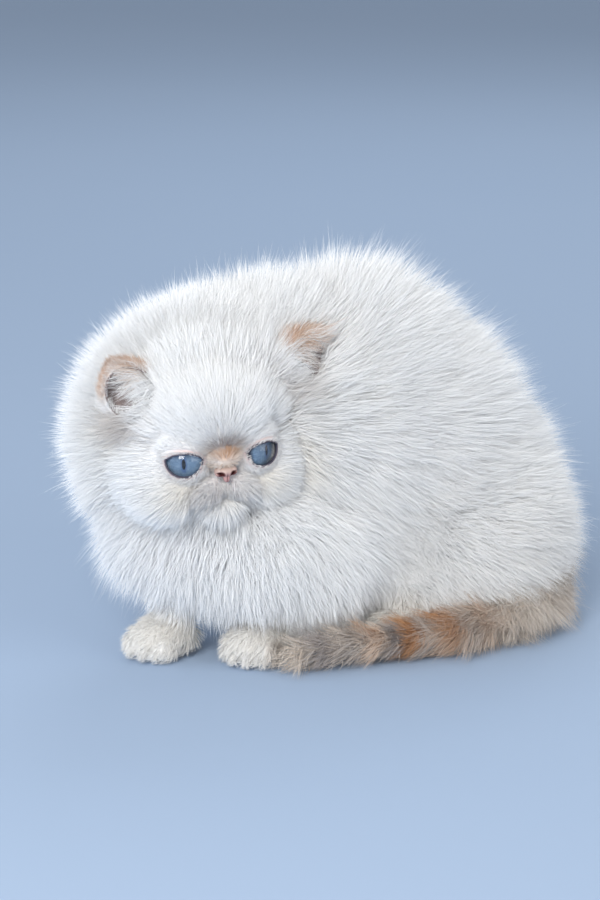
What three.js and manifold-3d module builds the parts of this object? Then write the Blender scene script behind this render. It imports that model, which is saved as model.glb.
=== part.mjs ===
// A Persian kitten crouching at rest, life size, in millimetres. +X runs from rump to chest, +Y to the
// kitten's own left and +Z up. The origin is on the floor, under the middle of the trunk.
import * as THREE from 'three';
import { mergeVertices } from 'three/addons/utils/BufferGeometryUtils.js';
import Module from 'manifold-3d';

const wasm = await Module();
wasm.setup();

// Driving dimensions
const clearance = 0.3; // left between neighbouring pieces
const roomMargin = 0.2; // more of it between the dense coats of two pieces
const coreShare = 0.5; // how far the dense under-coat reaches from the skin to the tips
const headAt = [96.7, 0.8, 102.3];
const headTurn = 68.4; // degrees to the kitten's left
const headNod = 6; // degrees nose down
const headTilt = 3.7; // degrees about the nose, crown towards the kitten's right
const eyeRadius = 10.2;
const eyeAt = { forward: 16.7, aside: 14.9, up: 1.6 };
const eyeTurn = 19; // degrees that each eye looks outward
const eyeOpening = { inner: [-7.6, 2.2], outer: [7.8, 3.4], top: 5.1, bottom: -4.8 };
const lidThickness = 1.6;
const noseAt = [27.8, 0, -1];
const noseHalf = [4, 7, 4.4];
const lipRadius = 6.6;
const slitWidth = 0.9;
const pawHeight = 8.5;
const tailFlesh = 5.5;
const tailCoat = 11;

const v = (x, y, z) => new THREE.Vector3(x, y, z);
const radians = THREE.MathUtils.degToRad;

// A small seeded random number, so that the coat is the same each time
function seeded(seed) {
  let state = seed;
  return () => {
    state = (state + 0x6d2b79f5) | 0;
    let t = Math.imul(state ^ (state >>> 15), 1 | state);
    t = (t + Math.imul(t ^ (t >>> 7), 61 | t)) ^ t;
    return ((t ^ (t >>> 14)) >>> 0) / 4294967296;
  };
}

// Masses of flesh. Each is an ellipsoid with its half sizes, the depth of its coat and a turn about Z.
function mass(at, half, coat, turn = 0) {
  return { at: v(...at), half: v(...half), coat, turn: radians(turn) };
}

const mirrored = (m) => ({ ...m, at: v(m.at.x, -m.at.y, m.at.z), turn: -m.turn });

// About how far a point is outside an ellipsoid grown by the dense part of its coat
function massDistance(m, p) {
  const grown = m.coat * coreShare;
  const c = Math.cos(m.turn);
  const s = Math.sin(m.turn);
  const dx = p.x - m.at.x;
  const dy = p.y - m.at.y;
  const q = [dx * c + dy * s, dy * c - dx * s, p.z - m.at.z];
  const h = [m.half.x + grown, m.half.y + grown, m.half.z + grown];
  const near = Math.hypot(q[0] / h[0], q[1] / h[1], q[2] / h[2]);
  const slope = Math.hypot(q[0] / h[0] ** 2, q[1] / h[1] ** 2, q[2] / h[2] ** 2);
  return (near * (near - 1)) / Math.max(slope, 1e-9);
}

// The masses melted together
function fleshDistance(flesh, p) {
  let sum = 0;
  for (const m of flesh.masses) sum += Math.exp(-massDistance(m, p) / flesh.melt);
  return -flesh.melt * Math.log(Math.max(sum, 1e-300));
}

function outwardAt(flesh, p) {
  const step = 0.5;
  const slope = ['x', 'y', 'z'].map((axis) => {
    const a = p.clone();
    const b = p.clone();
    a[axis] += step;
    b[axis] -= step;
    return fleshDistance(flesh, a) - fleshDistance(flesh, b);
  });
  return v(...slope).normalize();
}

// Where a ray from the middle of the flesh last leaves it
function surfacePoint(flesh, direction, swell = 0) {
  const reach = 160;
  const stride = 2;
  const at = (r) => flesh.middle.clone().addScaledVector(direction, r);
  let outside = reach;
  while (outside > stride && fleshDistance(flesh, at(outside - stride)) > swell) outside -= stride;
  let inside = outside - stride;
  for (let i = 0; i < 14; i += 1) {
    const half = (inside + outside) / 2;
    if (fleshDistance(flesh, at(half)) > swell) outside = half;
    else inside = half;
  }
  return at((inside + outside) / 2);
}

// Geometry to solid and back
function bare(geometry) {
  const g = geometry.index ? geometry.clone() : geometry;
  for (const name of Object.keys(g.attributes)) if (name !== 'position') g.deleteAttribute(name);
  return mergeVertices(g, 1e-4);
}

function solidOf(geometry) {
  const g = bare(geometry);
  const made = new wasm.Mesh({
    numProp: 3,
    vertProperties: new Float32Array(g.attributes.position.array),
    triVerts: new Uint32Array(g.index.array),
  });
  return new wasm.Manifold(made);
}

function geometryOf(solid) {
  const mesh = solid.getMesh();
  const position = new THREE.BufferAttribute(new Float32Array(mesh.vertProperties), 3);
  return new THREE.BufferGeometry()
    .setAttribute('position', position)
    .setIndex(new THREE.BufferAttribute(new Uint32Array(mesh.triVerts), 1));
}

function largestOf(solid) {
  return solid.decompose().reduce((a, b) => (b.volume() > a.volume() ? b : a));
}

const moved = (geometry, matrix) => solidOf(geometry.clone().applyMatrix4(matrix));

// A closed skin round the flesh: a ball whose points are drawn out to the surface. Its points can
// crowd towards one direction, such as the face.
function wrapped(flesh, swell = 0) {
  const ball = bare(new THREE.IcosahedronGeometry(1, flesh.facets));
  const position = ball.attributes.position;
  for (let i = 0; i < position.count; i += 1) {
    const direction = v().fromBufferAttribute(position, i);
    if (flesh.crowd) direction.add(flesh.crowd);
    direction.normalize();
    position.setXYZ(i, ...surfacePoint(flesh, direction, swell));
  }
  return ball;
}

const floorBlock = solidOf(new THREE.BoxGeometry(600, 600, 100).translate(0, 0, -50));

// The flesh of each part, in the part's own frame or, for the head, in the head's frame
const headFlesh = {
  melt: 2.5,
  facets: 7,
  middle: v(2, 0, 0),
  crowd: v(0.42, 0, -0.05),
  masses: [
    mass([-7, 0, 7], [27, 29, 27], 18),
    mass([7, 0, 13], [19, 22, 17], 7),
    mass([2, 18, -8], [19, 15, 16], 12),
    mass([2, -18, -8], [19, 15, 16], 12),
    mass([-8, 28, 20], [9, 11, 12], 3),
    mass([-8, -27, 19], [9, 10, 11], 3),
    mass([19, 0, 1], [8.5, 7.5, 8], 1),
  ],
};

const padFlesh = {
  melt: 1,
  facets: 3,
  middle: v(20, 7, -11),
  masses: [mass([19.5, 7, -11.5], [8.4, 8.2, 7], 2.4)],
};
const chinFlesh = {
  melt: 1,
  facets: 3,
  middle: v(16, 0, -21),
  masses: [mass([15.5, 0, -21.5], [9, 9.5, 6], 5)],
};

const neckFlesh = {
  melt: 7,
  facets: 3,
  middle: v(80, -16, 102),
  masses: [
    mass([86, -21, 103], [11, 42, 43], 22, headTurn),
    mass([70, -30, 105], [26, 22, 38], 26),
  ],
};

const chestFlesh = {
  melt: 7,
  facets: 3,
  middle: v(84, -14, 58),
  masses: [mass([87, -17, 62], [18, 31, 25], 20, 40), mass([66, -8, 56], [28, 32, 30], 12)],
};

const torsoFlesh = {
  melt: 6,
  facets: 5,
  middle: v(-4, -10, 70),
  masses: [
    mass([3, -14, 85], [41, 34, 56], 31),
    mass([-38, -6, 60], [36, 40, 28], 29),
    mass([44, -20, 97], [30, 32, 45], 29),
    mass([-20, -8, 80], [35, 36, 40], 29),
    mass([30, -20, 72], [30, 22, 40], 26),
    mass([-2, -8, 42], [56, 38, 36], 14),
  ],
};

const haunchLeftFlesh = {
  melt: 6,
  facets: 3,
  middle: v(-34, 32, 36),
  masses: [mass([-36, 32, 40], [36, 18, 34], 20), mass([-12, 36, 20], [26, 10, 16], 10)],
};

const haunchRightFlesh = {
  ...haunchLeftFlesh,
  middle: v(-34, -46, 36),
  masses: [mass([-36, -46, 40], [36, 18, 34], 20), mass([-12, -50, 20], [26, 10, 16], 10)],
};

function pawFlesh(at, turn, size, facets = 4) {
  const [x, y] = at;
  const ahead = v(Math.cos(radians(turn)), Math.sin(radians(turn)), 0);
  const aside = v(-ahead.y, ahead.x, 0);
  const place = (forward, side, z) => [
    x + ahead.x * forward + aside.x * side,
    y + ahead.y * forward + aside.y * side,
    z,
  ];
  const toeSpread = [-9, -3.2, 3.2, 9];
  const toes = toeSpread.map((side) =>
    mass(place(11 - (side * side) / 22, side, 6), [6.2, 3.1, 6], 2, turn + side * 2),
  );
  return {
    melt: 1,
    facets,
    middle: v(...place(0, 0, pawHeight - 1)),
    masses: [mass(place(0, 0, pawHeight), [size, 11, pawHeight], 6, turn), ...toes],
  };
}

const rightForePaw = pawFlesh([103, -24], 6, 15);
const leftForePaw = pawFlesh([74, 9], 18, 15);
const leftHindPaw = pawFlesh([14, 36], 8, 17, 2);
const rightHindPaw = pawFlesh([18, -54], -8, 17, 3);

// The tail lies along the left flank, its tip by the left forepaw
const tailPath = new THREE.CatmullRomCurve3([
  v(-78, 8, 44),
  v(-76, 34, 28),
  v(-54, 55, 16),
  v(-12, 60, 11.5),
  v(22, 52, 11),
  v(50, 41, 10),
  v(71, 31, 8),
]);
const tailCuts = { base: [0, 0.33], middle: [0.33, 0.68], tip: [0.68, 1] };

function tailFullness(t) {
  const bushy = 0.72 + 0.38 * Math.sin(Math.PI * Math.min(1, t * 1.1));
  return t > 0.8 ? bushy * Math.sqrt(Math.max(0.05, 1 - ((t - 0.8) / 0.2) ** 2 * 0.9)) : bushy;
}

function tailStretch(from, to) {
  const beads = 8;
  const masses = [];
  for (let i = 0; i <= beads; i += 1) {
    const t = from + ((to - from) * i) / beads;
    const r = tailFlesh * tailFullness(t);
    masses.push(mass(tailPath.getPointAt(t).toArray(), [r, r, r], tailCoat * tailFullness(t)));
  }
  return { melt: 1.5, middle: tailPath.getPointAt((from + to) / 2), masses };
}

// The way the tail runs at the nearest point of a stretch of it
function tailAheadAt(p, from, to) {
  let best = from;
  for (let i = 0; i <= 20; i += 1) {
    const t = from + ((to - from) * i) / 20;
    if (tailPath.getPointAt(t).distanceTo(p) < tailPath.getPointAt(best).distanceTo(p)) best = t;
  }
  return tailPath.getTangentAt(best);
}

// A round tube along a stretch of the tail, closed at both ends
function tailTube(from, to, swell) {
  const steps = 8;
  const sides = 10;
  const tube = bare(new THREE.CylinderGeometry(1, 1, 1, sides, steps));
  const position = tube.attributes.position;
  for (let i = 0; i < position.count; i += 1) {
    const p = v().fromBufferAttribute(position, i);
    const along = p.y + 0.5;
    const t = from + (to - from) * along;
    const ahead = tailPath.getTangentAt(t);
    const aside = v(0, 0, 1).cross(ahead).normalize();
    const above = ahead.clone().cross(aside);
    const r = (tailFlesh + tailCoat * coreShare) * tailFullness(t) + swell;
    const end = (along < 1e-6 ? -swell : 0) + (along > 1 - 1e-6 ? swell : 0);
    const q = tailPath.getPointAt(t).addScaledVector(aside, p.x * r).addScaledVector(above, -p.z * r);
    position.setXYZ(i, ...q.addScaledVector(ahead, end));
  }
  return tube;
}

// A flat, tapered lock of hair that bends along the lie of the coat
const lockRings = 2;
const lockBlank = bare(new THREE.ConeGeometry(1, 1, 4, lockRings));
const lockTaper = (s) => Math.min(1, 0.8 + 0.6 * s) * Math.sqrt(Math.max(0, 1 - s ** 1.6));

function lockGeometry(lock, swell = 0) {
  const aside = lock.along.clone().cross(lock.outward).normalize();
  const face = aside.clone().cross(lock.along).normalize();
  const g = lockBlank.clone();
  const position = g.attributes.position;
  for (let i = 0; i < position.count; i += 1) {
    const p = v().fromBufferAttribute(position, i);
    const ring = Math.round((p.y + 0.5) * lockRings);
    const share = ring / lockRings;
    const taper = lockTaper(share);
    const s = ring === 0 ? -lock.sunk / lock.length : share + (share === 1 ? swell / lock.length : 0);
    const round = Math.hypot(p.x, p.z) || 1;
    const grown = taper > 0 ? swell : 0;
    const q = lock.root
      .clone()
      .addScaledVector(lock.along, lock.length * s)
      .addScaledVector(lock.lie, lock.bend * lock.length * Math.max(0, s) ** 2)
      .addScaledVector(aside, (p.x / round) * ((lock.wide / 2) * taper + grown))
      .addScaledVector(face, (p.z / round) * ((lock.thick / 2) * taper + grown));
    position.setXYZ(i, ...q);
  }
  return g;
}

const floorMargin = 0.6;

function staysOffFloor(lock) {
  return [0.35, 0.7, 1].every((share) => {
    const reach = lock.along.z * lock.length * share + lock.lie.z * lock.bend * lock.length * share ** 2;
    return lock.root.z + reach > floorMargin + (1 - share) * 3;
  });
}

// Locks spread evenly over the flesh. Each lies along the coat, lifted off the skin, and one that
// would meet another piece is raised until it is clear, or left out.
function coatLocks(flesh, coat, obstacles, others) {
  const random = seeded(coat.seed);
  const roots = [];
  const locks = [];
  const golden = Math.PI * (3 - Math.sqrt(5));
  const tries = 700;
  for (let i = 0; i < tries; i += 1) {
    const up = 1 - (2 * (i + 0.5)) / tries;
    const round = Math.sqrt(1 - up * up);
    const direction = v(round * Math.cos(golden * i), round * Math.sin(golden * i), up);
    const root = surfacePoint(flesh, direction);
    if (root.z < flesh.floor + 3 || roots.some((r) => r.distanceTo(root) < coat.spacing)) continue;
    if (coat.where && !coat.where(root)) continue;
    if (others.some((other) => fleshDistance(other, root) < 1)) continue;
    const outward = outwardAt(flesh, root);
    const flow = coat.lie(root);
    const lie = flow.addScaledVector(outward, -flow.dot(outward)).normalize();
    const length = coat.length(root) * (0.88 + 0.3 * random());
    const sway = (random() - 0.5) * 0.5;
    const wide = coat.wide * (0.9 + 0.25 * random());
    lie.addScaledVector(outward.clone().cross(lie), sway).normalize();
    for (const raise of [0, 0.3, 0.65]) {
      const lift = coat.lift + raise * (1 - coat.lift);
      const along = lie
        .clone()
        .multiplyScalar(Math.sqrt(1 - lift * lift))
        .addScaledVector(outward, lift);
      const bend = coat.bend * (1 - raise);
      const lock = { ...coat, root, along, outward, lie, length, bend, wide };
      if (flesh.floor === 0 && !staysOffFloor(lock)) continue;
      if (solidOf(lockGeometry(lock, clearance)).intersect(obstacles).isEmpty()) {
        roots.push(root);
        locks.push(solidOf(lockGeometry(lock)));
        break;
      }
    }
  }
  return locks;
}

// How the coat lies on each part, and the size of its locks
const torsoCoat = {
  seed: 11,
  spacing: 28,
  length: (p) => (p.z < 30 ? 20 : 31),
  wide: 26,
  thick: 4,
  sunk: 6,
  lift: 0.5,
  bend: 0.18,
  lie: (p) => v(-0.75, p.y * 0.008, -0.45),
};
const neckCoat = {
  seed: 23,
  spacing: 19,
  length: () => 26,
  wide: 18,
  thick: 3.6,
  sunk: 5,
  lift: 0.5,
  bend: 0.15,
  lie: (p) => p.clone().sub(v(110, 30, 104)).add(v(0, 0, 8)),
};
const chestCoat = {
  seed: 37,
  spacing: 18.5,
  length: (p) => (p.z < 40 ? 18 : 24),
  wide: 16,
  thick: 3.6,
  sunk: 5,
  lift: 0.42,
  bend: 0.2,
  lie: () => v(0.1, 0.05, -1),
};
const haunchCoat = (side) => ({
  seed: 41 + side,
  spacing: side > 0 ? 18 : 25,
  length: (p) => (p.z < 20 ? 14 : 22),
  wide: 17,
  thick: 3.6,
  sunk: 5,
  lift: 0.42,
  bend: 0.2,
  where: (p) => (p.y + 8) * side > 24,
  lie: () => v(-0.8, 0.1 * side, -0.55),
});
const headCoat = {
  seed: 53,
  spacing: 13.5,
  length: (p) => (p.x > 12 ? 9 : 13 + Math.abs(p.y) * 0.15),
  wide: 11,
  thick: 2.6,
  sunk: 3.5,
  lift: 0.35,
  bend: 0.12,
  where: (p) => p.x < 17 && Math.hypot(p.x - 20, Math.abs(p.y) - 18, p.z) > 15,
  lie: (p) => v(-0.8, p.y * 0.03, p.z * 0.02),
};
const tailCoatOf = (from, to) => ({
  seed: 61 + Math.round(from * 10),
  spacing: 13.5,
  length: () => 20,
  wide: 13,
  thick: 2.8,
  sunk: 3,
  lift: 0.3,
  bend: 0.1,
  lie: (p) => tailAheadAt(p, from, to),
});

// Everything below is assembled into one group
const kitten = new THREE.Group();
const headFrame = new THREE.Group();
headFrame.position.set(...headAt);
headFrame.rotation.set(radians(headTilt), radians(headNod), radians(headTurn), 'ZYX');
kitten.add(headFrame);
kitten.updateMatrixWorld(true);
const toHead = headFrame.matrixWorld;

function inBodyFrame(flesh) {
  const turn = Math.atan2(toHead.elements[1], toHead.elements[0]);
  return {
    ...flesh,
    middle: flesh.middle.clone().applyMatrix4(toHead),
    masses: flesh.masses.map((m) => ({ ...m, at: m.at.clone().applyMatrix4(toHead), turn })),
  };
}

const headInBody = inBodyFrame(headFlesh);

const colours = { white: 0xe9e7e2, cream: 0xd9cfc0, tan: 0xb08f6f, eye: 0x5f86b5, nose: 0xc08f86 };

function addPart(name, solid, colour, parent = kitten) {
  const material = new THREE.MeshStandardMaterial({ color: colour, roughness: 0.85, metalness: 0 });
  const mesh = new THREE.Mesh(geometryOf(largestOf(solid)), material);
  mesh.name = name;
  parent.add(mesh);
  return mesh;
}

// An ear is a leaf with a cup let into its front
function earShape(ear, swell) {
  const leaf = new THREE.SphereGeometry(1, 12, 8);
  const outer = leaf.clone().scale(ear.half[0] + swell, ear.half[1] + swell, ear.half[2] + swell);
  const inner = leaf.clone().scale(ear.half[0], ear.half[1] - ear.rim, ear.half[2] - ear.rim);
  inner.translate(ear.half[0] * 0.75, 0, -1);
  const turn = new THREE.Matrix4().makeRotationFromEuler(
    new THREE.Euler(radians(ear.splay), radians(ear.lean), radians(ear.turn), 'ZYX'),
  );
  turn.setPosition(...ear.at);
  const solid = moved(outer, turn);
  return swell > 0 ? solid : solid.subtract(moved(inner, turn));
}

const rightEar = { at: [-2, -32.5, 27.5], half: [7, 13, 15], rim: 2.2, turn: -12, lean: -8, splay: 28 };
const leftEar = { at: [-7, 45.5, 30], half: [7, 12, 17], rim: 2.2, turn: 38, lean: -6, splay: -68 };

// The frame of an eye looks out through the middle of its lids
function eyeFrame(side) {
  const turn = new THREE.Matrix4().makeRotationZ(radians(eyeTurn * side));
  return turn.setPosition(eyeAt.forward, eyeAt.aside * side, eyeAt.up);
}

// A flat outline in the sideways and upward directions, made a bar that runs forward
function cutForward(outline, side, depth, curveSegments) {
  const bar = new THREE.ExtrudeGeometry(outline, { depth, bevelEnabled: false, curveSegments });
  const upright = new THREE.Matrix4().makeBasis(v(0, side, 0), v(0, 0, 1), v(side, 0, 0));
  return solidOf(bar.applyMatrix4(upright).translate(side < 0 ? depth : 0, 0, 0));
}

// The opening between the lids: nearly flat above and round below
function openingSolid(side) {
  const { inner, outer, top, bottom } = eyeOpening;
  const corner = (inner[1] + outer[1]) / 2;
  const high = corner + ((top - corner) * 4) / 3;
  const low = corner + ((bottom - corner) * 4) / 3;
  const almond = new THREE.Shape();
  almond.moveTo(...inner);
  almond.bezierCurveTo(inner[0] + 4, high, outer[0] - 4, high, ...outer);
  almond.bezierCurveTo(outer[0] - 0.5, low, inner[0] + 0.5, low, ...inner);
  return cutForward(almond, side, 22, 6);
}

const skinOf = (flesh) => solidOf(wrapped(flesh));
const roomOf = (flesh) => solidOf(wrapped(flesh, clearance + roomMargin));
const unionOf = (solids) => wasm.Manifold.union(solids);
const sides = { left: 1, right: -1 };
const ears = { left: leftEar, right: rightEar };
const intoHead = toHead.clone().invert();

// The head in its own frame: skin, pads, chin and lids, with the eyes and the nose let in
const rightPadFlesh = {
  ...padFlesh,
  middle: v(20, -7, -11),
  masses: padFlesh.masses.map(mirrored),
};
let head = unionOf([headFlesh, chinFlesh, padFlesh, rightPadFlesh].map((f) => skinOf(f)));
const headGrown = unionOf([headFlesh, chinFlesh].map(roomOf));
const eyeball = new THREE.SphereGeometry(1, 16, 8).rotateZ(-Math.PI / 2);
const ballOf = (r, side) => moved(eyeball.clone().scale(r, r, r), eyeFrame(side));
for (const side of Object.values(sides)) head = head.add(ballOf(eyeRadius + lidThickness, side));
for (const [name, side] of Object.entries(sides)) {
  head = head.subtract(ballOf(eyeRadius + clearance, side));
  head = head.subtract(openingSolid(side).transform(eyeFrame(side).toArray()));
  addPart('eye_' + name, ballOf(eyeRadius, side), colours.eye, headFrame);
}
const noseBall = (swell) =>
  new THREE.SphereGeometry(1, 12, 8)
    .rotateX(Math.PI / 2)
    .scale(noseHalf[0] + swell, noseHalf[1] + swell, noseHalf[2] + swell)
    .translate(...noseAt);
head = head.subtract(solidOf(noseBall(clearance)));
const nostril = new THREE.SphereGeometry(1, 6, 4).scale(2.2, 1.6, 1.2);
let nose = solidOf(noseBall(0));
for (const side of Object.values(sides)) {
  nose = nose.subtract(solidOf(nostril.clone().rotateX(0.5 * side).translate(30.6, 3.6 * side, -2.6)));
}
addPart('nose', nose, colours.nose, headFrame);

// The line of the mouth: a slit under each pad and one down from the nose
const bow = new THREE.Shape();
bow.absarc(0, 0, lipRadius, Math.PI * 1.08, Math.PI * 1.98, false);
bow.absarc(0, 0, lipRadius - slitWidth, Math.PI * 1.98, Math.PI * 1.08, true);
for (const side of Object.values(sides)) {
  head = head.subtract(cutForward(bow, side, 10, 5).translate([22, lipRadius * side, -12.5]));
}
head = head.subtract(solidOf(new THREE.BoxGeometry(8, slitWidth, 7).translate(27, 0, -9)));

// The dense under-coat of every piece comes first, each giving way to those before it
const cores = { head: head.transform(toHead.toArray()) };
let taken = unionOf([floorBlock, headGrown.transform(toHead.toArray())]);
function claim(name, solid, grown) {
  cores[name] = largestOf(solid.subtract(taken));
  taken = taken.add(grown);
}
for (const [name, ear] of Object.entries(ears)) {
  const shapes = [0, clearance].map((swell) => earShape(ear, swell).transform(toHead.toArray()));
  claim('ear_' + name, ...shapes);
}
const paws = {
  forepaw_right: rightForePaw,
  forepaw_left: leftForePaw,
  hindpaw_left: leftHindPaw,
  hindpaw_right: rightHindPaw,
};
for (const [name, flesh] of Object.entries(paws)) claim(name, skinOf(flesh), roomOf(flesh));
for (const [name, [from, to]] of Object.entries(tailCuts)) {
  const shapes = [0, clearance].map((swell) => solidOf(tailTube(from, to - 0.002, swell)));
  claim('tail_' + name, ...shapes);
}
const trunk = {
  neck: neckFlesh,
  chest: chestFlesh,
  hindleg_left: haunchLeftFlesh,
  hindleg_right: haunchRightFlesh,
  torso: torsoFlesh,
};
for (const [name, flesh] of Object.entries(trunk)) claim(name, skinOf(flesh), roomOf(flesh));

// Then the locks, each clear of every other piece
const allFlesh = [headInBody, ...Object.values(paws), ...Object.values(trunk)];
const pieces = { ...cores };
function grow(name, flesh, coat, frame = new THREE.Matrix4()) {
  const others = Object.entries(pieces).filter(([other]) => other !== name);
  const back = frame.clone().invert().toArray();
  const obstacles = unionOf(others.map(([, solid]) => solid)).transform(back);
  const near = frame === toHead ? [] : allFlesh.filter((other) => other !== flesh.of);
  const locks = coatLocks(flesh, coat, obstacles, near).map((lock) => lock.transform(frame.toArray()));
  pieces[name] = largestOf(unionOf([cores[name], ...locks]).subtract(floorBlock));
}
grow('head', { ...headFlesh, floor: -100 }, headCoat, toHead);
for (const [name, [from, to]] of Object.entries(tailCuts)) {
  grow('tail_' + name, { ...tailStretch(from, to), floor: 0 }, tailCoatOf(from, to));
}
const coats = {
  neck: neckCoat,
  chest: chestCoat,
  hindleg_left: haunchCoat(1),
  hindleg_right: haunchCoat(-1),
  torso: torsoCoat,
};
for (const [name, coat] of Object.entries(coats)) {
  grow(name, { ...trunk[name], of: trunk[name], floor: 0 }, coat);
}

const inHead = ['head', 'ear_left', 'ear_right'];
const tints = { ear: colours.tan, tail: colours.tan, forepaw: colours.cream, hindpaw: colours.cream };
for (const [name, solid] of Object.entries(pieces)) {
  const tint = tints[name.split('_')[0]] ?? colours.white;
  if (inHead.includes(name)) addPart(name, solid.transform(intoHead.toArray()), tint, headFrame);
  else addPart(name, solid, tint);
}

export default kitten;
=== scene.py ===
import math

import bpy
import numpy as np
from mathutils import Euler, Matrix, Vector
from mathutils.bvhtree import BVHTree
from mathutils.kdtree import KDTree


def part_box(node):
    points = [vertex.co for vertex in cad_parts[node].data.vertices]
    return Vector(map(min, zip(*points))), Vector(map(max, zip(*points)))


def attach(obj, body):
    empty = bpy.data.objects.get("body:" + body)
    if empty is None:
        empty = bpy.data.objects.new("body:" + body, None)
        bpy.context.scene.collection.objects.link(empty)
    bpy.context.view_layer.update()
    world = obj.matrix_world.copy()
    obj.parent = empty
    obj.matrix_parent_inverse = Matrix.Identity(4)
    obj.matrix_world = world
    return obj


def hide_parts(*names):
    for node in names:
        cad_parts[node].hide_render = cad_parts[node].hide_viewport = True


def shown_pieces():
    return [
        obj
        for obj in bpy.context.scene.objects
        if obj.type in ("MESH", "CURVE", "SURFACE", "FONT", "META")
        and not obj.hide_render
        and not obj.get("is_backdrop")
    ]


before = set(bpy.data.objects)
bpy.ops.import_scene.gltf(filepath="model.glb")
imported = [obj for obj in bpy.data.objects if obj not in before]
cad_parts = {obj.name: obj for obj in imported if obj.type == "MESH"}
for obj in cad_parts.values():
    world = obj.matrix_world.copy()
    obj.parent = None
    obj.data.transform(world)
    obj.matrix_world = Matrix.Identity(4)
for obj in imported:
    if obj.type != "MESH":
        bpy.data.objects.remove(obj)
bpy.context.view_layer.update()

# A Persian kitten crouching at rest, life size. Sizes are in millimetres and become metres where a
# mesh is made. +X runs from rump to chest, +Y to the kitten's left and +Z up.
mm = 0.001
sides = {"left": 1, "right": -1}
up = np.array((0.0, 0.0, 1.0))

# The head has a frame of its own: X out of the face, Y to its left and Z up
headFrame = {"at": (96.7, 0.8, 102.3), "turn": 68.4, "nod": 6, "tilt": 3.7}
headTurn = Euler([math.radians(headFrame[k]) for k in ("tilt", "nod", "turn")]).to_matrix()
headPlace = Matrix.Translation(Vector(headFrame["at"]) * mm) @ headTurn.to_4x4()
headAxes = np.array(headTurn)
headAt = np.array(headFrame["at"])


def toHead(points):
    return (points - headAt) @ headAxes


def fromHead(points):
    return np.asarray(points, float) @ headAxes.T + headAt


def unit(v):
    return v / np.maximum(np.linalg.norm(v, axis=-1, keepdims=True), 1e-9)


def ramp(low, high, x):
    t = np.clip((x - low) / (high - low), 0, 1)
    return t * t * (3 - 2 * t)


# Camera: level with the photograph's, on the kitten's left front quarter
view = {"azimuth": 140, "elevation": 15, "distance": 1300, "target": (26.29, -20.19, 82.67), "lens": 113.04}
azimuth, elevation = math.radians(view["azimuth"]), math.radians(view["elevation"])
towards = np.array((math.sin(azimuth), -math.cos(azimuth), 0.0))
rightward = np.array((math.cos(azimuth), math.sin(azimuth), 0.0))
backward = towards * math.cos(elevation) + up * math.sin(elevation)
bpy.ops.object.select_all(action="DESELECT")
bpy.ops.object.camera_add(location=(np.array(view["target"]) + backward * view["distance"]) * mm)
camera = bpy.context.object
camera.name = "camera"
camera.rotation_euler = Vector(-backward).to_track_quat("-Z", "Y").to_euler()
camera.data.lens = view["lens"]
camera.data.clip_start, camera.data.clip_end = 0.05, 50
bpy.context.scene.camera = camera


# Small tools for modelling

def pick(*objs):
    if bpy.context.object and bpy.context.object.mode != "OBJECT":
        bpy.ops.object.mode_set(mode="OBJECT")
    bpy.ops.object.select_all(action="DESELECT")
    for obj in objs:
        obj.select_set(True)
    bpy.context.view_layer.objects.active = objs[-1]
    return objs[-1]


# Moves an object to its place and makes that its own shape
def settle(obj, place=None):
    if place is not None:
        obj.matrix_world = place @ obj.matrix_world
    pick(obj)
    bpy.ops.object.transform_apply(location=True, rotation=True, scale=True)
    return obj


def turned(angles):
    return Euler([math.radians(a) for a in angles])


def axesOf(angles):
    return np.array(turned(angles).to_matrix())


def ball(at, half, turn=(0, 0, 0), detail=4):
    bpy.ops.object.select_all(action="DESELECT")
    bpy.ops.mesh.primitive_ico_sphere_add(subdivisions=detail, radius=mm)
    return settle(bpy.context.object, Matrix.LocRotScale(Vector(at) * mm, turned(turn), Vector(half)))


def joined(name, objs):
    pick(*objs)
    if len(objs) > 1:
        bpy.ops.object.join()
    bpy.context.object.name = name
    return bpy.context.object


# Adds one modifier and applies it
def worked(obj, kind, **settings):
    pick(obj)
    modifier = obj.modifiers.new(kind.title(), kind)
    for name, value in settings.items():
        setattr(modifier, name, value)
    bpy.ops.object.modifier_apply(modifier=modifier.name)
    return obj


# Runs what touches into one smooth form
def melted(obj, grain, rounds):
    worked(obj, "REMESH", mode="VOXEL", voxel_size=grain * mm)
    return worked(obj, "SMOOTH", factor=0.5, iterations=rounds)


def carved(obj, tool, how="DIFFERENCE"):
    worked(obj, "BOOLEAN", operation=how, object=tool, solver="MANIFOLD")
    bpy.data.objects.remove(tool)
    return obj


def pointsOf(obj):
    co = np.zeros(len(obj.data.vertices) * 3, np.float32)
    obj.data.vertices.foreach_get("co", co)
    return co.reshape(-1, 3).astype(float) / mm


def normalsOf(obj):
    normals = np.zeros(len(obj.data.vertices) * 3, np.float32)
    obj.data.vertices.foreach_get("normal", normals)
    return normals.reshape(-1, 3).astype(float)


def movePoints(obj, points):
    obj.data.vertices.foreach_set("co", (points * mm).astype(np.float32).ravel())
    obj.data.update()


# A smooth line of count points through the corners
def smoothLine(corners, count):
    corners = np.asarray(corners, float)
    ends = np.vstack([2 * corners[0] - corners[1], corners, 2 * corners[-1] - corners[-2]])
    x = np.linspace(0, len(corners) - 1, count)
    i = np.minimum(x.astype(int), len(corners) - 2)
    t = (x - i)[:, None]
    a, b, c, d = (ends[i + k] for k in range(4))
    return 0.5 * (2 * b + (c - a) * t + (2 * a - 5 * b + 4 * c - d) * t**2 + (3 * b - a - 3 * c + d) * t**3)


# How far each point is from a line, and which point of the line is the nearest
def nearestOn(line, points):
    gaps = np.full(len(points), 1e9)
    which = np.zeros(len(points), int)
    for i, p in enumerate(line):
        d = np.linalg.norm(points - p, axis=1)
        closer = d < gaps
        gaps[closer], which[closer] = d[closer], i
    return gaps, which


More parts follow.
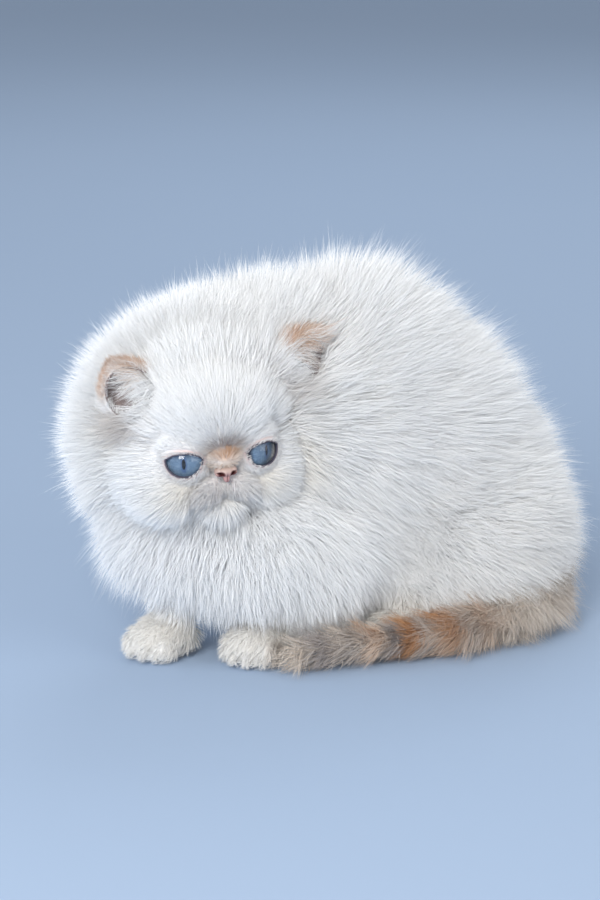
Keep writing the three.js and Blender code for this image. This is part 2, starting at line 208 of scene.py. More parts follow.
# Presses a fold into a surface along a line that is laid on it. It fades out at both ends.
def creased(obj, corners, wide, deep):
    points, normals = pointsOf(obj), normalsOf(obj)
    tree = BVHTree.FromObject(obj, bpy.context.evaluated_depsgraph_get())
    count = 40
    line = smoothLine(corners, count)
    line = np.array([tree.find_nearest(Vector(p * mm))[0] for p in line]) / mm
    gaps, which = nearestOn(line, points)
    share = np.sin(np.pi * (0.05 + 0.9 * which / (count - 1))) ** 0.5
    movePoints(obj, points - normals * (deep * share * np.exp(-((gaps / wide) ** 2)))[:, None])
    return line


# Materials

# A node's output, on which arithmetic adds the nodes that work it out
class Tone:
    def __init__(self, paint, socket):
        self.paint, self.socket = paint, socket

    def by(self, operation, *others):
        return self.paint.add("ShaderNodeMath", {"operation": operation}, dict(enumerate((self,) + others)))

    def __add__(self, other):
        return self.by("ADD", other)

    def __sub__(self, other):
        return self.by("SUBTRACT", other)

    def __mul__(self, other):
        return self.by("MULTIPLY", other)

    def __pow__(self, other):
        return self.by("POWER", other)

    def __rsub__(self, other):
        return self.paint.add("ShaderNodeMath", {"operation": "SUBTRACT"}, {0: other, 1: self})

    __radd__ = __add__
    __rmul__ = __mul__

    def step(self, low, high):
        ends = {"Value": self, "From Min": low, "From Max": high}
        return self.paint.add("ShaderNodeMapRange", {"interpolation_type": "SMOOTHSTEP"}, ends)


# A material with one Principled shader, whose sockets take numbers, colours or tones
class Paint:
    def __init__(self, name, **constants):
        self.material = bpy.data.materials.new(name)
        self.material.use_nodes = True
        self.tree = self.material.node_tree
        self.shader = self.tree.nodes["Principled BSDF"]
        for socket, value in constants.items():
            self.shader.inputs[socket.replace("_", " ")].default_value = value

    def add(self, kind, settings=None, sockets=None, output=0):
        node = self.tree.nodes.new(kind)
        for name, value in (settings or {}).items():
            setattr(node, name, value)
        for name, value in (sockets or {}).items():
            self.feed(node.inputs[name], value)
        return Tone(self, node.outputs[output])

    def feed(self, socket, value):
        if isinstance(value, Tone):
            self.tree.links.new(value.socket, socket)
        else:
            socket.default_value = value

    def mix(self, share, a, b):
        colours = {6: a if isinstance(a, Tone) else (*a, 1), 7: b if isinstance(b, Tone) else (*b, 1)}
        return self.add("ShaderNodeMix", {"data_type": "RGBA"}, {0: share, **colours}, 2)

    def parts(self, attribute):
        read = self.add("ShaderNodeAttribute", {"attribute_name": attribute}, output="Color")
        split = self.add("ShaderNodeSeparateColor", {}, {0: read}).socket.node
        alpha = Tone(self, read.socket.node.outputs["Alpha"])
        return [Tone(self, split.outputs[i]) for i in range(3)] + [alpha]

    def noise(self, scale, detail=3, where=None, rough=0.5):
        place = where or self.add("ShaderNodeTexCoord", output="Object")
        sockets = {"Vector": place, "Scale": scale, "Detail": detail, "Roughness": rough}
        return self.add("ShaderNodeTexNoise", {}, sockets)

    def bump(self, height, strength, distance):
        sockets = {"Height": height, "Strength": strength, "Distance": distance}
        self.feed(self.shader.inputs["Normal"], self.add("ShaderNodeBump", {}, sockets))


hues = {
    "white": (0.955, 0.955, 0.95),
    "shade": (0.90, 0.905, 0.915),  # painted shade near the roots, where the coat lies in its own shade
    "cream": (0.86, 0.80, 0.70),
    "tan": (0.56, 0.43, 0.32),
    "rust": (0.56, 0.27, 0.10),
    "smokeAndShade": (0.36, 0.32, 0.31),
    "pink": (0.72, 0.50, 0.47),
    "rim": (0.035, 0.035, 0.06),
    # The cup colour is painted shade for the hollow of each ear
    "cup": (0.12, 0.065, 0.055),
}


# The markings that skin and coat share, laid over white, with painted shade among the smoke
def marked(paint, base, strength=1.0):
    cream, tan, rust, smokeAndShade = paint.parts("marks")
    colour = paint.mix(cream * strength, base, hues["cream"])
    colour = paint.mix(tan * strength, colour, hues["tan"])
    colour = paint.mix(rust * strength, colour, hues["rust"])
    return paint.mix(smokeAndShade * strength, colour, hues["smokeAndShade"])


def coatPaint():
    paint = Paint("coat", Roughness=0.62, Specular_IOR_Level=0.3, Sheen_Weight=0.05, Sheen_Roughness=0.4)
    along, tone, _, _ = paint.parts("strand")
    # Painted shade: each tuft is darker and cooler towards its root
    white = paint.mix(along.step(0.05, 0.75), hues["shade"], hues["white"])
    colour = marked(paint, white)
    colour = paint.mix((1 - tone) * 0.03, colour, (0.60, 0.60, 0.64))
    paint.feed(paint.shader.inputs["Base Color"], colour)
    paint.feed(paint.shader.inputs["Roughness"], 0.7 - along * 0.18)
    return paint.material


def skinPaint():
    paint = Paint("skin", Roughness=0.6, Specular_IOR_Level=0.35)
    rim, pink, cup, _ = paint.parts("face")
    grain = paint.noise(900, 4)
    base = paint.mix(grain.step(0.3, 0.7) * 0.4, (0.95, 0.94, 0.935), (0.98, 0.97, 0.965))
    colour = marked(paint, base, 0.9)
    colour = paint.mix(pink, colour, hues["pink"])
    # Painted shade darkens the hollow of each ear's cup
    colour = paint.mix(cup, colour, hues["cup"])
    colour = paint.mix(rim, colour, hues["rim"])
    paint.feed(paint.shader.inputs["Base Color"], colour)
    paint.feed(paint.shader.inputs["Roughness"], 0.62 - rim * 0.35)
    paint.bump(grain, 0.4, 0.0003)
    return paint.material


# Flesh: balls with their centres, half sizes without the coat, the depth of coat and a turn about Z.
# The skin is swelled by the dense wool next to it, a share of the coat's depth.
woolShare = {"body": 0.38, "head": 0.25}
flesh = {
    "torso": [
        ((3, -14, 85), (41, 34, 56), 35, 0),
        ((-38, -6, 60), (36, 40, 28), 32, 0),
        ((44, -20, 97), (30, 32, 45), 33, 0),
        ((-20, -8, 80), (35, 36, 40), 34, 0),
        ((30, -20, 72), (30, 22, 40), 30, 0),
        ((-2, -8, 42), (56, 38, 36), 14, 0),
    ],
    "neck": [((86, -21, 103), (11, 42, 43), 23, 68.4), ((70, -30, 105), (26, 22, 38), 26, 0)],
    "chest": [
        ((87, -17, 62), (18, 31, 25), 22, 40),
        ((66, -8, 54), (28, 32, 31), 17, 0),
        ((46, 8, 44), (26, 20, 26), 18, 0),
    ],
    "hindleg_left": [((-36, 32, 40), (36, 18, 34), 24, 0), ((-12, 36, 20), (26, 10, 16), 14, 0)],
    "hindleg_right": [((-36, -46, 40), (36, 18, 34), 22, 0), ((-12, -50, 20), (26, 10, 16), 12, 0)],
}
skullFlesh = [  # in the head's frame: centre, half sizes and depth of coat
    ((-7, 0, 7), (27, 29, 27), 18),
    ((7, 0, 13), (19, 22, 17), 8),
    ((2, 18, -8), (19, 15, 16), 12),
    ((2, -18, -8), (19, 15, 16), 12),
]
faceFlesh = [  # the same, where the coat is too short to swell the skin
    ((19, 0, 1), (8.5, 7.5, 8), 1.2),
    ((24.6, 0, 2.0), (4.6, 6.6, 4.6), 1.0),
    ((19.5, 6.6, -11.5), (8.0, 8.0, 6.8), 2.6),
    ((19.5, -6.6, -11.5), (8.0, 8.0, 6.8), 2.6),
    ((15.5, 0, -21.0), (8.6, 9.0, 5.6), 6),
]
eye = {"radius": 10.2, "forward": 16.7, "aside": 14.9, "up": 1.6, "turn": 19, "lid": 1.5}
opening = {"inner": (-7.6, 2.2), "outer": (7.8, 1.9), "top": 5.1, "bottom": -4.8}
earWall, earCoat = 1.6, 5.0
earRoot = {"at": (-8, 28, 20), "half": (9, 11, 12)}
ears = {  # tinted says how far the tan leans to the upper edge, sweep where the hairs in the cup lie
    "right": {
        "at": (-2, -32.5, 27.5), "half": (7, 13, 15), "turn": (28, -8, -12),
        "tinted": 0.0, "sweep": (0.25, -1.0, 0.35),
    },
    "left": {
        "at": (-7, 45.5, 30), "half": (7, 12, 17), "turn": (-68, -6, 38),
        "tinted": 0.8, "sweep": (0.25, 0.6, 0.8),
    },
}
paws = {
    "forepaw_right": {"at": (103, -24), "turn": 6, "length": 15},
    "forepaw_left": {"at": (74, 9), "turn": 18, "length": 15},
    "hindpaw_left": {"at": (14, 36), "turn": 8, "length": 17},
    "hindpaw_right": {"at": (18, -54), "turn": -8, "length": 17},
}
toes = (-9, -3.2, 3.2, 9)
legs = [  # foot and top of each leg, and the half sizes and number of the balls between
    ((100, -23, 12), (90, -20, 46), (8, 8, 8), 8),
    ((72, 8, 12), (74, -2, 46), (8, 8, 8), 8),
    ((6, 36, 10), (-12, 34, 22), (8, 8, 7), 5),
    ((10, -53, 10), (-12, -50, 22), (8, 8, 7), 5),
]
tail = {
    "path": [
        (-78, 8, 44), (-76, 34, 28), (-54, 55, 16), (-12, 60, 11.5), (22, 52, 11), (50, 41, 10), (71, 31, 8),
    ],
    "flesh": 5.5,
    "coat": 12,
}
tailLine = smoothLine(tail["path"], 121)
creases = [  # folds of the face's left half: beside the nose, over and under the eye
    ([(26.5, 8.0, 0.5), (25.2, 9.6, -4), (23.6, 12.4, -9), (20, 15.5, -14)], 1.0, 1.1),
    ([(26.0, 8.6, 4.8), (27.5, 15, 8.6), (24.0, 23, 9.0), (17, 28, 5.0)], 1.3, 0.9),
    ([(25, 10, -5.6), (25.6, 17, -7.6), (21.5, 24, -6.6)], 1.3, 0.5),
]
mouth = {
    "slit": [(29.5, 0, -6.5), (29, 0.2, -10), (28, 0.3, -13.5)],
    "left": [(28, 0.3, -13.0), (26.5, 3.4, -15.6), (24.5, 6.6, -16.8), (22, 9.6, -16.8)],
    "right": [(28, 0.3, -13.0), (26.5, -3.0, -15.8), (24.5, -6.4, -17.2), (22, -9.4, -17.2)],
}


def swelled(half, coat, where):
    return tuple(h + coat * woolShare[where] for h in half)


def eyePlace(side):
    at = Vector((eye["forward"], eye["aside"] * side, eye["up"])) * mm
    return Matrix.Translation(at) @ Matrix.Rotation(math.radians(eye["turn"] * side), 4, "Z")


# The opening between the lids, in the eye's sideways and upward directions: nearly flat above and
# round below
def almond(count=28):
    t = np.linspace(0, 1, count, endpoint=False)[:, None]

    def curve(a, b, c, d):
        return a * (1 - t) ** 3 + 3 * b * t * (1 - t) ** 2 + 3 * c * t**2 * (1 - t) + d * t**3

    inner, outer = np.array(opening["inner"]), np.array(opening["outer"])
    corner = (inner[1] + outer[1]) / 2
    high, low = (corner + (opening[k] - corner) * 4 / 3 for k in ("top", "bottom"))
    upper = curve(inner, np.array((inner[0] + 4, high)), np.array((outer[0] - 4, high)), outer)
    lower = curve(outer, np.array((outer[0] - 0.5, low)), np.array((inner[0] + 0.5, low)), inner)
    return np.vstack([upper, lower])


def almondBar(side):
    outline = almond()
    bpy.ops.object.select_all(action="DESELECT")
    bpy.ops.mesh.primitive_circle_add(vertices=len(outline), radius=mm, fill_type="NGON")
    obj = bpy.context.object
    for vertex, (aside, high) in zip(obj.data.vertices, outline):
        vertex.co = (2 * mm, aside * side * mm, high * mm)
    bpy.ops.object.mode_set(mode="EDIT")
    bpy.ops.mesh.select_all(action="SELECT")
    bpy.ops.mesh.extrude_region_move(TRANSFORM_OT_translate={"value": (16 * mm, 0, 0)})
    bpy.ops.mesh.select_all(action="SELECT")
    bpy.ops.mesh.normals_make_consistent(inside=False)
    return settle(obj, eyePlace(side))


def earAxes(side):
    return headAxes @ axesOf(ears[side]["turn"])


def earPlace(ear):
    return Matrix.LocRotScale(Vector(ear["at"]) * mm, turned(ear["turn"]), None)


# An ear is a leaf with rounded tip, and a cup let into its front
def earShell(ear):
    half = ear["half"]
    leaf = ball((0, 0, 0), half, detail=5)
    cupHalf = (half[0] * 1.45, half[1] - earWall, half[2] - earWall)
    cup = ball((half[0] * 0.8, 0, -0.6), cupHalf, detail=5)
    for obj in (leaf, cup):
        points = pointsOf(obj)
        points[:, 1] *= 1 - 0.22 * ramp(0, half[2], points[:, 2])
        points[:, 0] -= 0.012 * points[:, 1] ** 2 - 0.6
        movePoints(obj, points)
    carved(leaf, cup)
    return settle(leaf, earPlace(ear))


def buildHead():
    skull = [ball(at, swelled(half, coat, "head"), detail=5) for at, half, coat in skullFlesh]
    head = melted(joined("head", skull), 0.9, 26)
    pieces = [ball(at, half) for at, half, _ in faceFlesh]
    for side in sides.values():
        lids = eye["radius"] + eye["lid"]
        pieces.append(settle(ball((0, 0, 0), (lids,) * 3, detail=5), eyePlace(side)))
        x, y, z = earRoot["at"]
        pieces.append(ball((x, y * side, z), earRoot["half"]))
    pieces += [earShell(ear) for ear in ears.values()]
    head = melted(joined("head", [head] + pieces), 0.5, 5)
    for side in sides.values():
        socket = settle(ball((0, 0, 0), (eye["radius"] + 0.15,) * 3, detail=5), eyePlace(side))
        carved(head, socket)
        carved(head, almondBar(side))
    melted(head, 0.45, 2)
    for side in sides.values():
        for folds, wide, deep in creases:
            creased(head, [(x, y * side, z) for x, y, z in folds], wide, deep)
    worked(head, "DECIMATE", ratio=0.42)
    for name in ("slit", "left", "right"):
        mouth[name + "Line"] = creased(head, mouth[name], 0.55, 1.5)
    return settle(head, headPlace)


def pawMasses(paw):
    turn = math.radians(paw["turn"])
    spin = np.array(((math.cos(turn), math.sin(turn), 0), (-math.sin(turn), math.cos(turn), 0), (0, 0, 1)))
    at = np.array((*paw["at"], 0.0))
    masses = [(at + up * 8.5, (paw["length"], 11, 8.5), 6.0, paw["turn"])]
    for side in toes:
        spot = np.array((paw["length"] - 4 - side**2 / 22, side, 6.0))
        masses.append((at + spot @ spin, (6.2, 3.1, 6.0), 3.2, paw["turn"]))
    return masses


def buildPaws():
    made = []
    for name, paw in paws.items():
        masses = pawMasses(paw)
        obj = joined(name, [ball(at, half, (0, 0, turn)) for at, half, _, turn in masses])
        made.append(obj)
    obj = melted(joined("paws", made), 1.0, 3)
    points = pointsOf(obj)
    points[:, 2] = np.maximum(points[:, 2], 0.7)
    movePoints(obj, points)
    return obj


def buildTrunk():
    rows = [row for masses in flesh.values() for row in masses]
    balls = [ball(at, swelled(half, coat, "body"), (0, 0, turn)) for at, half, coat, turn in rows]
    for i in range(0, 121, 3):
        r = tail["flesh"] * (1 - 0.35 * (i / 120) ** 2)
        balls.append(ball(tailLine[i], (r, r, r), detail=2))
    for foot, top, half, count in legs:
        balls += [ball(p, half, detail=3) for p in smoothLine([foot, top], count)]
    trunk = melted(joined("trunk", balls), 2.6, 34)
    points = pointsOf(trunk)
    points[:, 2] = np.maximum(points[:, 2], 1.0)
    movePoints(trunk, points)
    return trunk


print("modelling the skin")
skin = buildTrunk()
head = buildHead()
carved(skin, buildPaws(), "UNION")
carved(skin, head, "UNION")
skin.name = "skin"
pick(skin)
bpy.ops.object.shade_smooth()
bpy.ops.object.mode_set(mode="EDIT")
bpy.ops.mesh.select_all(action="SELECT")
bpy.ops.uv.smart_project(angle_limit=math.radians(66), island_margin=0.002)
bpy.ops.object.mode_set(mode="OBJECT")
skin.data.uv_layers[0].name = "OFBake"
print("skin", len(skin.data.polygons))


# Every mass of flesh as numbers, so that a point on the skin knows what it lies on
def massTable():
    rows = []
    for group, masses in flesh.items():
        for at, half, coat, turn in masses:
            spin = axesOf((0, 0, turn))
            left = coat * (1 - woolShare["body"])
            rows.append((group, np.array(at, float), spin, swelled(half, coat, "body"), left))
    for at, half, coat in skullFlesh:
        left = coat * (1 - woolShare["head"])
        rows.append(("head", fromHead(at), headAxes, swelled(half, coat, "head"), left))
    for at, half, coat in faceFlesh:
        rows.append(("head", fromHead(at), headAxes, half, coat))
    for side, ear in ears.items():
        rows.append(("ear_" + side, fromHead(ear["at"]), earAxes(side), ear["half"], earCoat))
    for name, paw in paws.items():
        for at, half, coat, turn in pawMasses(paw):
            rows.append((name, at, axesOf((0, 0, turn)), half, coat))
    return rows


masses = massTable()
groups = list(dict.fromkeys(row[0] for row in masses)) + ["tail"]


# About how far points lie outside a mass
def outside(points, at, axes, half):
    q = (points - at) @ axes / np.array(half, float)
    near = np.linalg.norm(q, axis=1)
    slope = np.linalg.norm(q / np.array(half, float), axis=1)
    return near * (near - 1) / np.maximum(slope, 1e-9)


# The share of every group of flesh at each point, and the depth of the coat there
def sharesAt(points, melt=5.0):
    depth = np.zeros(len(points))
    total = np.zeros(len(points))
    shares = np.zeros((len(points), len(groups)))
    for group, at, axes, half, coat in masses:
        w = np.exp(-np.clip(outside(points, at, axes, half), -20, 60) / melt)
        shares[:, groups.index(group)] += w
        depth += w * coat
        total += w
    gaps, _ = nearestOn(tailLine[::3], points)
    w = np.exp(-np.clip(gaps - tail["flesh"], -20, 60) / melt)
    shares[:, -1] += w
    return shares / (total + w)[:, None], (depth + w * tail["coat"]) / (total + w)


# Cheap smooth noise from a few sine waves
def mottle(points, size, seed):
    rng = np.random.default_rng(seed)
    total = np.zeros(len(points))
    for k in range(6):
        direction = unit(rng.normal(size=3)) * (2 * math.pi / size) * (0.6 + 0.9 * rng.random())
        total += np.sin(points @ direction + rng.random() * 6.28)
    return np.clip(0.5 + total / 5, 0, 1)


# Markings, with painted shade among the smoke patches: patches with a place, half sizes and strength, in the
# head's frame or the body's
patches = {
    "cream": [
        ("head", (20, 16, -9), (8, 9, 6), 0.75), ("head", (20, -16, -9), (8, 9, 6), 0.75),
        ("head", (22, 0, -14), (7, 12, 7), 0.35), ("head", (4, 34, -10), (10, 9, 12), 0.5),
        ("head", (0, -40, 6), (10, 12, 8), 0.35),
        ("body", (-40, 50, 40), (45, 26, 30), 0.22),
    ],
    "tan": [
        ("head", (26, 0, 4.4), (5, 7.6, 4.4), 0.85), ("head", (27, 4.6, -0.6), (4, 3.2, 4), 0.8),
        ("head", (27, -4.6, -0.6), (4, 3.2, 4), 0.8), ("head", (28, 0, 0.6), (4, 4, 2.5), 0.9),
        ("head", (2, -36, 14), (10, 13, 8), 0.30), ("head", (2, 37, 18), (9, 9, 8), 0.25),
    ],
    "rust": [("head", (28, 0.5, 4.6), (3, 4.2, 2.6), 0.75)],
    # Smoke patches that are painted shade: the stop between the eyes at (24, 0, 9), the meeting of the
    # mouth's lines at (28, 0, -13.5) and under the chin at (18, 2, -24)
    "smokeAndShade": [
        ("head", (26, 0, 1.5), (5, 6, 4), 0.18), ("head", (28, 0, -13.5), (4, 2, 1.3), 0.5),
        ("head", (23, 10, 2), (4, 3, 3), 0.30), ("head", (23, -10, 2), (4, 3, 3), 0.30),
        ("head", (24, 0, 9), (5, 4, 3), 0.28), ("head", (18, 2, -24), (7, 9, 5), 0.22),
        ("head", (4, -36, 14), (9, 12, 7), 0.40), ("head", (2, 36, 20), (8, 8, 9), 0.30),
        ("head", (-4, -38, 42), (9, 10, 6), 0.3), ("head", (25, 6, -11), (5, 7, 6), 0.5),
        ("head", (25, -6, -11), (5, 8, 6.5), 0.66), ("head", (27, 0, 8.4), (3, 6, 1.6), 0.85),
    ],
}
tailPatches = {  # share of the way to the tip, its half length, height on the tail and strength
    "rust": [(0.56, 0.032, 6, 1.6), (0.65, 0.024, 0, 1.7), (0.745, 0.025, 6, 1.0), (0.48, 0.035, 7, 0.5)],
    "smokeAndShade": [
        (0.88, 0.035, 1, 1.3), (0.69, 0.02, -2, 1.2), (0.61, 0.02, -6, 1.0), (0.51, 0.02, -7, 0.9),
        (0.8, 0.02, -4, 0.8), (0.25, 0.2, 0, 0.3),
    ],
}
# Spots at the roots of the whiskers: the first, the steps along a row and the size
padSpots = {
    "rows": 3, "each": 4, "first": (25.5, 4.4, -9.0), "step": (-1.0, 1.9, -2.1), "half": (3, 0.8, 0.75),
}
lidShade = {"strength": 0.42, "reach": 3.2}
# The tan on an ear's rim, in shares of the ear's half sizes
earTint = {"ring": 0.96, "wide": 0.12, "tip": (-0.2, 0.5), "rustTip": (0.0, 0.6), "edge": (0.92, 1.14)}


def marksAt(points):
    local = toHead(points)
    marks = {}
    for kind, spots in patches.items():
        marks[kind] = np.zeros(len(points))
        for where, at, size, strength in spots:
            q = ((local if where == "head" else points) - np.array(at)) / np.array(size, float)
            marks[kind] = np.maximum(marks[kind], strength * np.exp(-(q**2).sum(1)))
    gaps, which = nearestOn(tailLine, points)
    onTail = 1 - ramp(9, 15, gaps)
    along = which / 120
    broken = mottle(points, 9, 3)
    marks["cream"] = np.maximum(marks["cream"], onTail * 0.5)
    marks["tan"] = np.maximum(marks["tan"], onTail * (0.3 + 0.35 * broken) * ramp(0.05, 0.3, along))
    for kind, spots in tailPatches.items():
        for at, size, height, strength in spots:
            high = np.clip((points[:, 2] - tailLine[which, 2] - height) / 7, -3, 3)
            patch = strength * np.exp(-((along - at) / size) ** 2 - high**2 * 0.6) * onTail
            marks[kind] = np.maximum(marks[kind], patch * (0.6 + 0.6 * broken))
    for row, k, side in np.ndindex(padSpots["rows"], padSpots["each"], 2):
        spot = np.array(padSpots["first"]) + np.array((k, k, row)) * padSpots["step"]
        q = (local - spot * (1, 1 - 2 * side, 1)) / np.array(padSpots["half"])
        marks["smokeAndShade"] = np.maximum(marks["smokeAndShade"], 1.2 * np.exp(-(q**2).sum(1)))
    # Painted shade round the lids of each eye, laid into the smoke marks
    for side in sides:
        q = eyeLocal(points, side)
        near = (q[:, 0] > 2) & (np.linalg.norm(q, axis=1) < 20)
        shade = lidShade["strength"] * np.exp(-((lidGap(q[near]) / lidShade["reach"]) ** 2))
        marks["smokeAndShade"][near] = np.maximum(marks["smokeAndShade"][near], shade)
    for name, paw in paws.items():
        gap = np.linalg.norm(points - np.array((*paw["at"], 8.0)), axis=1)
        marks["cream"] = np.maximum(marks["cream"], 0.4 * (1 - ramp(14, 26, gap)))
    shares, _ = sharesAt(points, 2.0)
    for side, ear in ears.items():
        q = earLocal(points, side)
        tip = q[:, 2] - ear["tinted"] * q[:, 1]
        rim = np.exp(-(((np.hypot(q[:, 1], q[:, 2]) - earTint["ring"]) / earTint["wide"]) ** 2))
        rim *= ramp(*earTint["tip"], tip) * shares[:, groups.index("ear_" + side)]
        rim *= 1 - ramp(*earTint["edge"], np.linalg.norm(q, axis=1))
        marks["tan"] = np.maximum(marks["tan"], 0.6 * rim)
        marks["rust"] = np.maximum(marks["rust"], 0.65 * rim * ramp(*earTint["rustTip"], tip))
    return np.stack([np.clip(marks[k], 0, 1) for k in ("cream", "tan", "rust", "smokeAndShade")], 1)


# Points in an ear's own frame, in shares of its half sizes
def earLocal(points, side):
    q = (toHead(points) - np.array(ears[side]["at"], float)) @ axesOf(ears[side]["turn"])
    return q / np.array(ears[side]["half"], float)


# Points in an eye's own frame, with the sideways direction outward on both sides
def eyeLocal(points, side):
    place = np.array(eyePlace(sides[side]))
    q = (toHead(points) - place[:3, 3] / mm) @ place[:3, :3]
    return q * np.array((1, sides[side], 1))


# How far points in an eye's frame are from the edge of the lids, less than 0 in the opening
def lidGap(q):
    line = almond(40)
    middle = line.mean(0)
    line, flat = line - middle, q[:, 1:] - middle
    gaps = np.min(np.linalg.norm(flat[:, None] - line[None], axis=2), axis=1)
    angles, reach = np.arctan2(line[:, 1], line[:, 0]), np.linalg.norm(line, axis=1)
    order = np.argsort(angles)
    angle = np.arctan2(flat[:, 1], flat[:, 0])
    edge = np.interp(angle, angles[order], reach[order], period=2 * math.pi)
    return np.where(np.linalg.norm(flat, axis=1) < edge, -gaps, gaps)


def colourAttribute(mesh, name, values):
    attribute = mesh.attributes.new(name, "FLOAT_COLOR", "POINT")
    attribute.data.foreach_set("color", values.astype(np.float32).ravel())


# Lids: how far the dark line and the pink reach, and where the pink inner corner is
lidPaint = {"line": (0.55, 1.3), "pink": (1.0, 2.8), "corner": (9.5, -7.0, -0.8)}
cupShare = {"back": -0.75, "ring": 0.86, "edge": 1.05}


def paintSkin():
    points = pointsOf(skin)
    local = toHead(points)
    rim, pink, cup = (np.zeros(len(points)) for _ in range(3))
    for side in sides:
        q = eyeLocal(points, side)
        nearEye = (q[:, 0] > 3) & (np.linalg.norm(q, axis=1) < 15)
        gap = lidGap(q[nearEye])
        rim[nearEye] = np.maximum(rim[nearEye], (1 - ramp(*lidPaint["line"], gap)) * 0.96)
        pink[nearEye] = np.maximum(pink[nearEye], 0.7 * (1 - ramp(*lidPaint["pink"], gap)))
        corner = np.linalg.norm(q - np.array(lidPaint["corner"]), axis=1)
        pink = np.maximum(pink, 0.8 * (1 - ramp(0.6, 2.2, corner)))
        rim = rim * ramp(0.4, 1.4, corner)
        # Painted shade fills the hollow of each ear's cup
        e = earLocal(points, side)
        inside = (e[:, 0] > cupShare["back"]) & (np.hypot(e[:, 1], e[:, 2]) < cupShare["ring"])
        inside &= np.linalg.norm(e, axis=1) < cupShare["edge"]
        cup = np.maximum(cup, inside * 0.85)
    for name in ("slitLine", "leftLine", "rightLine"):
        gaps, _ = nearestOn(mouth[name], local)
        rim = np.maximum(rim, 0.55 * (1 - ramp(0.2, 0.9, gaps)))
        pink = np.maximum(pink, 0.5 * (1 - ramp(0.5, 1.6, gaps)))
    colourAttribute(skin.data, "face", np.stack([rim, pink, cup, np.ones(len(points))], 1))
    colourAttribute(skin.data, "marks", marksAt(points))


paintSkin()
skin.data.materials.clear()
skin.data.materials.append(skinPaint())

# Roots for the coat: the skin cut into triangles, with what each lies on
mesh = skin.data
mesh.calc_loop_triangles()
corners = np.zeros(len(mesh.loop_triangles) * 3, np.int32)
mesh.loop_triangles.foreach_get("vertices", corners)
corners = corners.reshape(-1, 3)
loops = np.zeros(len(mesh.loop_triangles) * 3, np.int32)
mesh.loop_triangles.foreach_get("loops", loops)
uvOfLoop = np.zeros(len(mesh.loops) * 2, np.float32)
mesh.uv_layers["OFBake"].uv.foreach_get("vector", uvOfLoop)
cornerUv = uvOfLoop.reshape(-1, 2)[loops].reshape(-1, 3, 2)
skinPoints, skinNormals = pointsOf(skin), normalsOf(skin)
a, b, c = (skinPoints[corners[:, k]] for k in range(3))
faceArea = np.linalg.norm(np.cross(b - a, c - a), axis=1) / 2
faceMiddle = (a + b + c) / 3
faceShares, _ = sharesAt(faceMiddle)
faceGroup = faceShares.argmax(1)
faceSeen = ramp(-0.5, 0.3, unit(np.cross(b - a, c - a)) @ towards)  # 1 where the camera looks


# Random places on the skin, with the surface's direction and the place on the unwrap
def scatter(chosen, count, rng):
    weight = faceArea * chosen
    pickedFaces = rng.choice(len(weight), count, p=weight / weight.sum())
    u, v = rng.random(count), rng.random(count)
    flip = u + v > 1
    u[flip], v[flip] = 1 - u[flip], 1 - v[flip]
    w = np.stack([1 - u - v, u, v], 1)[:, :, None]
    roots = (skinPoints[corners[pickedFaces]] * w).sum(1)
    normals = unit((skinNormals[corners[pickedFaces]] * w).sum(1))
    return roots, normals, (cornerUv[pickedFaces] * w).sum(1)


# The way the coat lies: back over the body, out from the face, down the chest, along paws and tail.
# The body's hair fans out from a point before the face, and the face's from one between the eyes.
combedFrom = {"body": (112, 32, 108), "face": (30, 0, 1.0)}


def lieAt(roots):
    shares, depth = sharesAt(roots, 7.0)
    local = toHead(roots)
    flow = {}
    one = np.ones(len(roots))
    away = unit(roots - np.array(combedFrom["body"])) + np.array((-0.12, 0, -0.1))
    flow["torso"] = flow["neck"] = flow["hindleg_left"] = flow["hindleg_right"] = away
    flow["chest"] = away * 0.7 + np.stack([0.1 * one, (roots[:, 1] + 14) * 0.01, -one], 1)
    out = local - np.array(combedFrom["face"])
    out[:, 0] = np.minimum(out[:, 0] * 0.6, 0) - 3
    flow["head"] = unit(out) @ headAxes.T
    for name in ears:
        flow["ear_" + name] = np.tile(earAxes(name) @ np.array((-0.2, 0, 1)), (len(roots), 1))
    for name, paw in paws.items():
        turn = math.radians(paw["turn"])
        flow[name] = np.tile((math.cos(turn), math.sin(turn), -0.35), (len(roots), 1))
    _, which = nearestOn(tailLine, roots)
    flow["tail"] = unit(np.gradient(tailLine, axis=0))[which]
    return sum(shares[:, i : i + 1] * unit(flow[g]) for i, g in enumerate(groups)), depth


# Rooms that long hair stays out of: each a centre, axes and half sizes
def room(at, half, axes=np.eye(3)):
    return np.asarray(at, float), axes, half


def earRoom(side):
    axes, half = earAxes(side), ears[side]["half"]
    at = fromHead(ears[side]["at"]) + axes @ np.array((4.0, 0, -1))
    return room(at, (5, half[1] - 2.5, half[2] - 3.5), axes)


def pawRoom(paw):
    return room((*paw["at"], 9.0), (paw["length"] + 1, 12, 10.5), axesOf((0, 0, paw["turn"])))


def eyeRoom(side):
    place = np.array(headPlace @ eyePlace(side))
    at = place[:3, 3] / mm + place[:3, :3] @ np.array((11, 0.5 * side, 0.1))
    return room(at, (6, 7.2, 4.4), place[:3, :3])


faceRoom = room(fromHead((33, 0, -4)), (17, 27, 21), headAxes)
earRooms = [earRoom(side) for side in ears]
pawRooms = [pawRoom(paw) for paw in paws.values()]
tailRooms = [room(p, (9, 9, 8)) for p in tailLine[30::6]]
eyeRooms = [eyeRoom(side) for side in sides.values()]


# The share of each tuft that is left where rooms cut it short
def stayOut(roots, start, end, length, rooms):
    steps = np.linspace(0.12, 1, 9)
    kept = np.ones(len(roots))
    for s in steps[::-1]:
        p = roots + length[:, None] * (start * (s - s * s / 2) + end * (s * s / 2))
        inside = np.zeros(len(roots), bool)
        for at, axes, half in rooms:
            inside |= (((p - at) @ axes / np.array(half, float)) ** 2).sum(1) < 1
        kept[inside] = s - 0.1
    return kept


# The shares of a tuft's length at which its path is worked out
def stepsOf(rings):
    return np.linspace(0, 1, rings + 1) ** 1.25


patchSize = 0.003  # of a tuft on the unwrap


